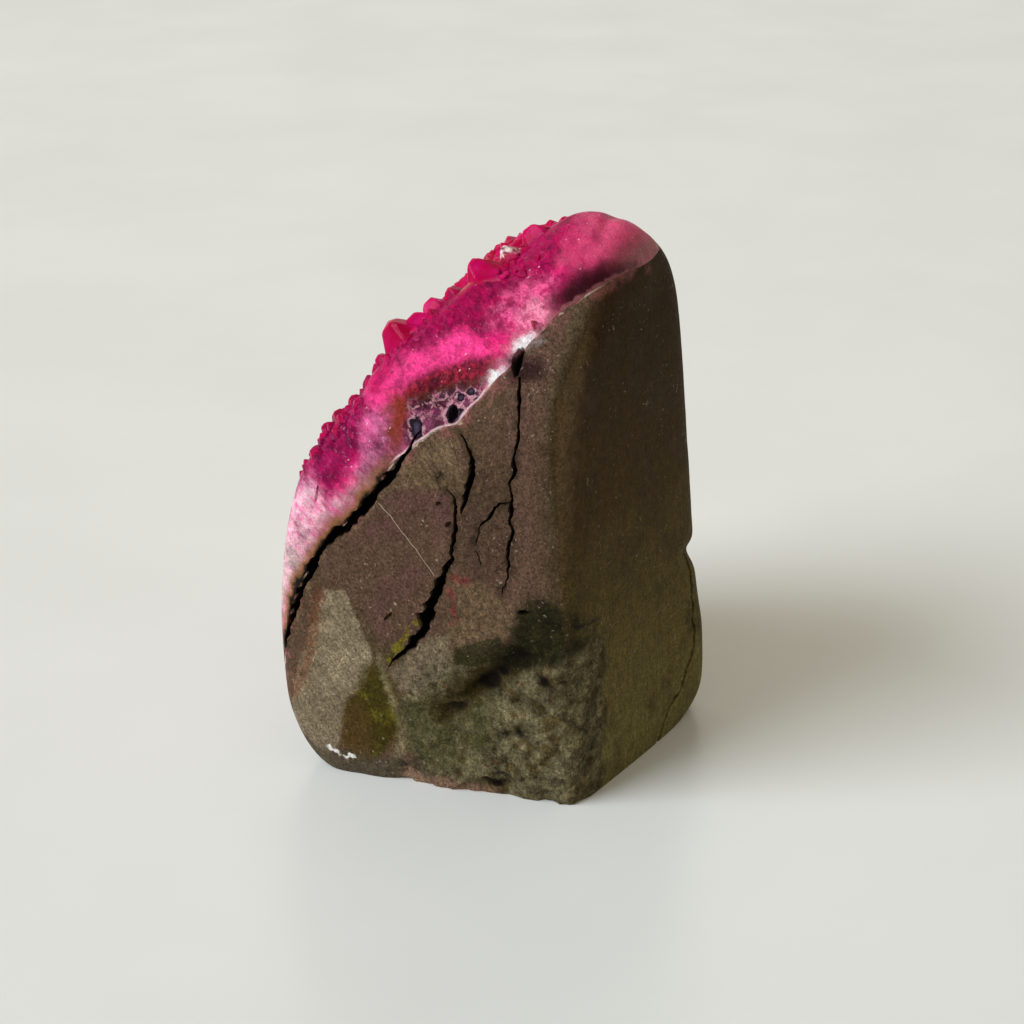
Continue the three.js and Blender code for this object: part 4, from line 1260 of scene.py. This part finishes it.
def paint_bands(g, share, along, streaks):
    """The patches of the crust's ground section. Gives back the masks of three of them."""
    g.paint(DEEP_MAGENTA, g.spots(0.5, 0.6, 2.6, 6, swirl=0.7, rough=0.65), g.step(share, 0.25, 0.55), 0.8)
    g.paint(HOT_PINK, g.zone("hot", 1.6, 1.2, 4), 0.85)
    mauve = g.zone("mauve", 1.8, 1.5, 4)
    g.paint(g.mix(g.step(streaks, 0.36, 0.6), DARK_MAUVE, MAUVE), mauve, 0.9)
    g.paint(ROOT, g.zone("roots", 1.4, 1.2, 3), 0.85)
    pale = g.most(g.zone("pale", 1.8, 1.5, 4), g.zone("dusk", 1.8, 1.5, 4))
    pink = g.mix(g.zone("pale", 2.5, 1, 4), DUSK_PINK, PALE_PINK)
    g.paint(g.mix(g.step(streaks, 0.34, 0.56), DUSK_ROSE, pink), pale, 0.85)
    foot = g.most(g.zone("foot", 2.5, 1.5, 5), g.step(along, 30, 20))
    g.paint(g.mix(g.step(streaks, 0.36, 0.66), PALE_PINK, FOOT_CREAM), foot, 0.8)
    speckle = g.spots(0.42, 0.54, 1.8, 6, rough=0.68)
    g.paint(g.mix(speckle, DARK_MOTTLE, MOTTLE), g.zone("mottle", 1.4, 1.4, 3), 0.7)
    # painted highlight: a bright salmon patch of light on the crust above the highlight spots, speckled
    g.paint(g.mix(speckle, SALMON_HIGHLIGHT_DARK, SALMON_HIGHLIGHT), g.zone("salmon_highlight", 1.2, 1.2, 3), 0.85)
    # dark plum beside the crevice, partly painted shadow of it
    dusky_crevice_shade = g.mix(g.step(streaks, 0.4, 0.6), DARK_DUSKY, DUSKY)
    g.paint(dusky_crevice_shade, g.zone("dusky_crevice_shade", 1.4, 1.2, 2.6), 0.8)
    return mauve, pale, foot


def paint_dome(g, share, growth, x, y, height):
    """The dome is a smooth rose, with a plum veil above the joint, painted near black close to it, partly
    as shade.
    """
    drift = g.wobble(8, 5, 5)
    dome = g.times(g.step(g.add(height, drift), 89, 94), g.step(g.add(y, drift), 14.5, 20))
    g.paint(g.mix(g.spots(0.4, 0.64, 7, 4), ROSE, shaded(ROSE, 0.8)), dome, 0.92)
    g.paint(MAGENTA, dome, g.spots(0.46, 0.6, 3.5, 5), g.step(share, 0.3, 0.6), 0.6)
    rear = g.times(g.step(g.add(y, g.times(drift, 0.5)), 22.5, 26.5),
                   g.step(g.add(height, g.times(drift, 0.4)), 97, 92.5))
    g.paint(REAR_BROWN, rear, 0.8)
    veil = g.times(g.zone("veil", 2, 0.9, 3), g.step(x, -1, 3))
    g.paint(PLUM_RED, veil, 0.9)
    # partly painted shade: near black close to the joint
    g.paint(PLUM_BLACK_SHADE, veil, g.step(g.add(growth, g.wobble(5, 3.5, 5)), 5.6, 2.4), 0.92)
    return dome, veil


def paint_foot(g, growth, along, height, near):
    """Rust along the foot of the crust, and painted shade where it meets the crevice."""
    below = g.step(along, 70, 58)
    g.paint(FOOT_RED, g.step(near, 4.6, 1.2), below, g.step(along, 34, 44), 0.6)
    g.paint(OCHRE, g.step(near, 2.6, 0.5), below)
    # painted shade: black at the mouth of the crevice
    g.paint(SHADE_BLACK, g.step(near, 1, 0.1), g.step(along, 66, 60))
    g.paint(RUST_ORANGE, g.zone("rust", 1.8, 1.6, 3), 0.9)


def paint_vug(g, growth, height, grains):
    """Garnet crumbs, and the vug below them with its ribs and its holes, the holes painted as shade."""
    crumbs = g.noise(0.9, 5, rough=0.7, swirl=0.6)
    g.paint(g.ramp(crumbs, GARNET_TONES), g.zone("garnet", 1, 1.1, 2), 0.92)
    soil = g.times(g.step(g.attribute("vug"), -1.5, -0.3), g.step(g.attribute("garnet"), -0.5, 0.5))
    g.paint(SOIL, g.times(soil, g.step(crumbs, 0.4, 0.52)), 0.8)
    vug = g.zone("vug", 0.9, 1.1, 1.8)
    g.paint(g.ramp(g.noise(1.7, 6, swirl=0.9, rough=0.66), VUG_TONES), vug, 0.9)
    ribs = g.times(vug, g.step(g.web(1.5, g.jolted(0.8, 1)), 0.14, 0.05), g.step(grains, 0.42, 0.52))
    g.paint(VUG_RIB, g.times(ribs, g.step(height, 69, 72)), 0.7)
    holes = g.add(g.attribute("vug_holes"), g.wobble(1.2, 0.9, 4))
    g.paint(VUG_LIP, vug, g.step(holes, -0.55, -0.2), g.step(grains, 0.4, 0.55), 0.8)
    # painted shade: the vug's holes, near black at their rims and violet-grey in their middles
    g.paint(g.mix(g.step(holes, 0.2, 0.9), VUG_HOLE_SHADE, VUG_DEEP), g.step(holes, -0.1, 0.1))
    g.paint(SEAM, g.step(growth, 0.5, 0.2), g.step(height, 61, 63), g.step(height, 77, 75), 0.8)


def paint_highlights(g, along, height, near):
    """The socket's painted shade, the two painted highlight spots in their haze of painted reflection, and
    the stain behind the dome.
    """
    # painted shade in the socket
    g.paint(SOCKET_SHADE, g.zone("socket", 0.8, 0.8), 0.92)
    bright = g.most(g.attribute("highlight_spot"), g.attribute("low_highlight_spot"))
    highlight_spot = g.step(g.add(bright, -0.35, g.wobble(2.4, 1.2, 5)), -0.6, 0.8)
    # painted reflection: a haze around the highlight spots, then the white painted highlights in it
    g.paint(HIGHLIGHT_HAZE, g.step(g.add(bright, g.wobble(4, 1.6, 5)), -1.4, 0.6, 0, 0.5))
    g.paint(HIGHLIGHT_WHITE, highlight_spot, 0.9)
    g.paint(DOME_STAIN, g.step(near, 0.9, 0.3), g.step(along, 92, 96), g.step(height, 93, 90), 0.6)
    return highlight_spot


def ground_quartz():
    g = Graph("ground_quartz", Subsurface_Weight=0.5, Subsurface_Scale=0.0007,
              Subsurface_Radius=(1, 0.3, 0.45), IOR=1.54, Specular_IOR_Level=0.08,
              Specular_Tint=(1, 0.6, 0.7))
    growth, along, share = g.attribute("growth"), g.attribute("along"), g.attribute("share")
    x, y, height = g.axis("X"), g.axis("Y"), g.axis("Z")
    columns = g.node("ShaderNodeCombineXYZ", {0: along, 1: g.times(growth, 0.3), 2: x})
    streaks = g.noise(0.9, 6, columns, rough=0.68)
    grains, fine = g.noise(0.7, 5, rough=0.72), g.noise(0.3, 3)
    depth = g.add(share, g.wobble(0.5, 4, 5), g.swing(streaks, 0.3))
    g.colour = g.ramp(depth, BAND_TONES)
    mauve, pale, foot = paint_bands(g, share, along, streaks)
    dome, veil = paint_dome(g, share, growth, x, y, height)

    # every grain has its own tone, and white ones lie in streaks square to the wall
    leaning = g.stretched(1, 1, 0.8, -42)
    crowd = g.jolted(0.9, 1.3, leaning)
    fine_tone, broad_tone = g.cell_tones(1.1, crowd), g.cell_tones(2.6, g.jolted(1.6, 2.4, leaning))
    calm = g.times(g.step(dome, 0, 1, 1, 0.35), g.step(veil, 0, 1, 1, 0.3))
    tone = g.add(g.swing(fine_tone, 0.4), g.swing(broad_tone, 0.4), g.wobble(1.4, 2, 6, rough=0.7))
    g.tone(g.math("MULTIPLY_ADD", tone, calm, 1))
    bright = g.times(g.step(grains, 0.54, 0.68), g.step(streaks, 0.5, 0.6), g.step(growth, 1.5, 3.5))
    streaky = g.most(g.times(mauve, 0.6), g.most(pale, foot))
    g.paint(GRAIN_WHITE, bright, g.add(g.times(calm, 0.1), g.times(streaky, 0.5)))
    murk = g.times(g.spots(0.56, 0.68, 1.3, 6, rough=0.7), g.step(share, 0.35, 0.7))
    g.paint(GRAIN_DARK, g.times(murk, calm), 0.6)
    frost = g.times(g.spots(0.57, 0.66, 1.1, 6, rough=0.74, swirl=0.5), g.spots(0.44, 0.56, 6, 3))
    g.paint(FROST, g.times(frost, calm), 0.3)

    near = g.add(growth, g.wobble(3, 2.5, 5))
    paint_foot(g, growth, along, height, near)
    paint_vug(g, growth, height, grains)
    highlight_spot = paint_highlights(g, along, height, near)

    # painted highlights: small glints as short white strokes, and sparkle dots
    glint_strokes = g.times(g.step(g.cells(1.9, g.stretched(1, 2.4, 0.8, 35)), 0.12, 0.06),
                     g.spots(0.55, 0.6, 5, 2))
    glint_dots = g.times(g.spots(0.71, 0.76, 0.35, 2), g.spots(0.52, 0.6, 4, 2))
    g.paint(WHITE, g.most(glint_strokes, glint_dots), g.step(growth, 2, 4), 0.8)
    g.tone(g.step(fine, 0.25, 0.75, 0.8, 1.2))
    # painted shade: dark inside the crevice and cracks, by how deep they lie
    g.paint(CREVICE_SHADE, g.step(g.attribute("sunk"), 0.9, 2.2))

    shine = g.add(g.step(g.noise(2, 4), 0.3, 0.7, 0.22, 0.48), g.times(highlight_spot, -0.16))
    facets = g.times(g.cells(1.1, crowd), calm)
    return g.finish(shine, (facets, 0.2), (grains, 0.15), (streaks, 0.12), (fine, 0.03))


CRYSTAL_TONES = [
    (0.35, (0.34, 0.0015, 0.03)), (0.48, (0.46, 0.002, 0.06)), (0.6, (0.52, 0.003, 0.1)),
    (0.7, (0.62, 0.008, 0.15)),
]
CRYSTAL_VALLEY_SHADE = (0.22, 0.002, 0.04)
CRYSTAL_LOW = (0.26, 0.002, 0.045)
CRYSTAL_FOOT = (0.42, 0.03, 0.13)
CRYSTAL_VEIL = (0.85, 0.04, 0.2)
GLASS_TONES = [(0.42, (0.16, 0.05, 0.06)), (0.5, (0.6, 0.42, 0.42)), (0.58, (0.8, 0.72, 0.7))]


def crystal_faces():
    g = Graph("crystal_faces", IOR=1.54, Specular_IOR_Level=0.03, Specular_Tint=(1, 0.5, 0.65),
              Transmission_Weight=0.1, Subsurface_Weight=0.6, Subsurface_Scale=0.0015,
              Subsurface_Radius=(1, 0.15, 0.3))
    lift = g.times(g.attribute("sunk"), -1)
    along = g.attribute("along")
    g.colour = g.ramp(g.noise(6, 3), CRYSTAL_TONES)
    # painted shade: darker at the crystals' feet, in the valleys between them
    g.paint(CRYSTAL_VALLEY_SHADE, g.step(lift, 1.6, -0.4), 0.65)
    g.paint(CRYSTAL_LOW, g.step(along, 78, 66, 0, 0.55))
    g.paint(CRYSTAL_FOOT, g.step(along, 46, 26), 0.4)
    veils = g.noise(1.4, 4, swirl=0.8)
    g.paint(CRYSTAL_VEIL, g.step(veils, 0.58, 0.7), 0.12)
    g.paint(g.ramp(veils, GLASS_TONES), g.step(g.attribute("clear"), -0.3, 0.4))
    shine = g.step(g.noise(1.2, 3), 0.35, 0.7, 0.06, 0.25)
    growth_lines = g.noise(0.35, 2, g.stretched(1, 0.3, 1))
    return g.finish(shine, (g.noise(1.1, 3), 0.05), (growth_lines, 0.012))


# The floor is painted darker towards the camera and lighter far off, a painted fall of light across it.
FLOOR_FRONT, FLOOR_MIDDLE, FLOOR_FAR = (0.7, 0.705, 0.69), (0.81, 0.81, 0.8), (0.86, 0.86, 0.855)


def pale_floor():
    g = Graph("pale_floor")
    # painted light: lighter the further the floor lies from the camera
    way = g.add(g.times(g.axis("X"), -0.9), g.times(g.axis("Y"), -0.4))
    g.colour = g.mix(g.step(way, -260, 60), FLOOR_FRONT, FLOOR_MIDDLE)
    g.paint(FLOOR_FAR, g.step(way, 100, 700))
    g.vary(g.noise(90, 3), 0.98, 1.02)
    return g.finish(g.step(g.noise(40, 3), 0.3, 0.7, 0.28, 0.34), (g.noise(30, 2), 0.002))


# ---- Building ---------------------------------------------------------------------------------

CRYSTAL_LIFT = 0.08  # what stands this far out of the crust is a crystal
LEDGE_LIFT = 0.4  # and this far out of the massive quartz
LEDGE_FROM = 0.1  # which is as thick as this
GROUND_OFF = 0.05  # crystal faces this near the room for the points are ground off
SHARPEST = 40  # degrees between two faces that are still shaded as one


def keep_largest(obj):
    """Drops the crumbs that cuts have freed."""
    bm = bmesh.new()
    bm.from_mesh(obj.data)
    left = set(bm.verts)
    islands = []
    while left:
        stack = [left.pop()]
        island = []
        while stack:
            v = stack.pop()
            island.append(v)
            near = {e.other_vert(v) for e in v.link_edges} & left
            left -= near
            stack += near
        islands.append(island)
    islands.sort(key=len)
    for island in islands[:-1]:
        bmesh.ops.delete(bm, geom=island, context="VERTS")
    bm.to_mesh(obj.data)
    bm.free()


def set_faces(obj, materials, flat):
    """Gives an object its materials: the second one, with flat shading, where flat is true."""
    mesh = obj.data
    mesh.materials.clear()
    for material in materials:
        mesh.materials.append(material)
    mesh.set_sharp_from_angle(angle=math.radians(SHARPEST))
    mesh.polygons.foreach_set("material_index", flat.astype(np.int32))
    mesh.polygons.foreach_set("use_smooth", ~flat)
    edges = np.empty(len(mesh.loops), np.int32)
    mesh.loops.foreach_get("edge_index", edges)
    sizes = np.empty(len(mesh.polygons), np.int32)
    mesh.polygons.foreach_get("loop_total", sizes)
    owner = np.repeat(flat, sizes)
    kinds = np.zeros((len(mesh.edges), 2), bool)  # whether an edge has flat faces, and smooth ones
    kinds[edges[owner], 0] = True
    kinds[edges[~owner], 1] = True
    sharp = np.empty(len(mesh.edges), bool)
    mesh.edges.foreach_get("use_edge_sharp", sharp)
    mesh.edges.foreach_set("use_edge_sharp", sharp | kinds.all(1))
    mesh.update()


BALL = geodesic(BODY_FREQUENCY)
stone = ground_body("stone_body", DISTANCES, relief=True)
crust = show("crust_body", stone.data.copy())
cut(stone, behind_wall(JOINT), how="INTERSECT")
far_groove = groove(FAR_CRACK, 0, -OUTSIDE, CORE[0], FAR_SEED)
back_groove = groove(BACK_CRACK, 1, OUTSIDE, CORE[1], BACK_SEED)
cut(stone, *side_cutters(), far_groove, back_groove)

points = mesh_object("joined_points", *box_mesh((-1, 8, 40), (1, 10, 42)))  # inside the body
apply_booleans(points, ("UNION", crystal_points()))
cut(points, ground_body("point_space", POINT_SPACE, relief=False), how="INTERSECT")
cut(crust, points, how="UNION")
cut(crust, behind_wall(0), *side_cutters())

for piece in (stone, crust):
    keep_largest(piece)
centres = places(crust.data.polygons, "center")
lift = relief_depth(centres) - sunk(centres)
lifted = lift > np.where(ledge_height(centres) > LEDGE_FROM, LEDGE_LIFT, CRYSTAL_LIFT)
ground_flush = (sunk(centres, POINT_SPACE) < GROUND_OFF) | (centres[:, 2] > DRUSE_TOP + 2)
describe_stone(stone)
describe_crust(crust)
set_faces(stone, [basalt()], np.zeros(len(stone.data.polygons), bool))
set_faces(crust, [ground_quartz(), crystal_faces()], lifted & ~ground_flush)

for piece, node, slot in ((stone, "matrix_stone", "stone"), (crust, "crystal_crust", "crystal")):
    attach(piece, "root")
    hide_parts(node)

# ---- Floor, light and camera (metres) ---------------------------------------------------------

FLOOR_HALF = 15
FLOOR_CORNERS = [(-FLOOR_HALF, -FLOOR_HALF, 0), (FLOOR_HALF, -FLOOR_HALF, 0), (FLOOR_HALF, FLOOR_HALF, 0),
                 (-FLOOR_HALF, FLOOR_HALF, 0)]
AMBIENT, AMBIENT_STRENGTH = (1, 0.93, 0.73), 0.42
CAMERA_AZIMUTH, CAMERA_TILT, CAMERA_LENS, CAMERA_SENSOR = 114, 22, 81.76, 36
CAMERA_PLACE = (0.35006, 0.15823, 0.19673)
NEAREST = 0.01  # what the camera still shows

floor = show("floor", bpy.data.meshes.new("floor"))
floor.data.from_pydata(FLOOR_CORNERS, [], [(0, 1, 2, 3)])
floor.data.materials.append(pale_floor())

world = bpy.data.worlds.new("studio")
bpy.context.scene.world = world
world.use_nodes = True
background = world.node_tree.nodes["Background"].inputs
background["Color"].default_value = (*AMBIENT, 1)
background["Strength"].default_value = AMBIENT_STRENGTH


def softbox(name, place, size, power, aim, colour):
    light = bpy.data.lights.new(name, "AREA")
    light.shape, light.color, light.energy = "RECTANGLE", colour, power
    light.size, light.size_y = size
    obj = show(name, light)
    obj.location = place
    obj.rotation_euler = (Vector(aim) - Vector(place)).to_track_quat("-Z", "Y").to_euler()


softbox("key", (5.02, -4.21, 4.59), (5.2, 5.2), 760, (0, 0, 0.05), (0.86, 0.93, 1))
softbox("rim", (-1.6, -0.7, 1.2), (0.8, 0.6), 1.5, (-0.7, -0.3, 0), (1, 0.95, 0.85))
bpy.context.scene.view_settings.view_transform = "Standard"

camera = show("camera", bpy.data.cameras.new("camera"))
camera.data.lens, camera.data.sensor_width = CAMERA_LENS, CAMERA_SENSOR
camera.data.clip_start = NEAREST
camera.location = CAMERA_PLACE
camera.rotation_euler = (math.radians(90 - CAMERA_TILT), 0, math.radians(CAMERA_AZIMUTH))
bpy.context.scene.camera = camera
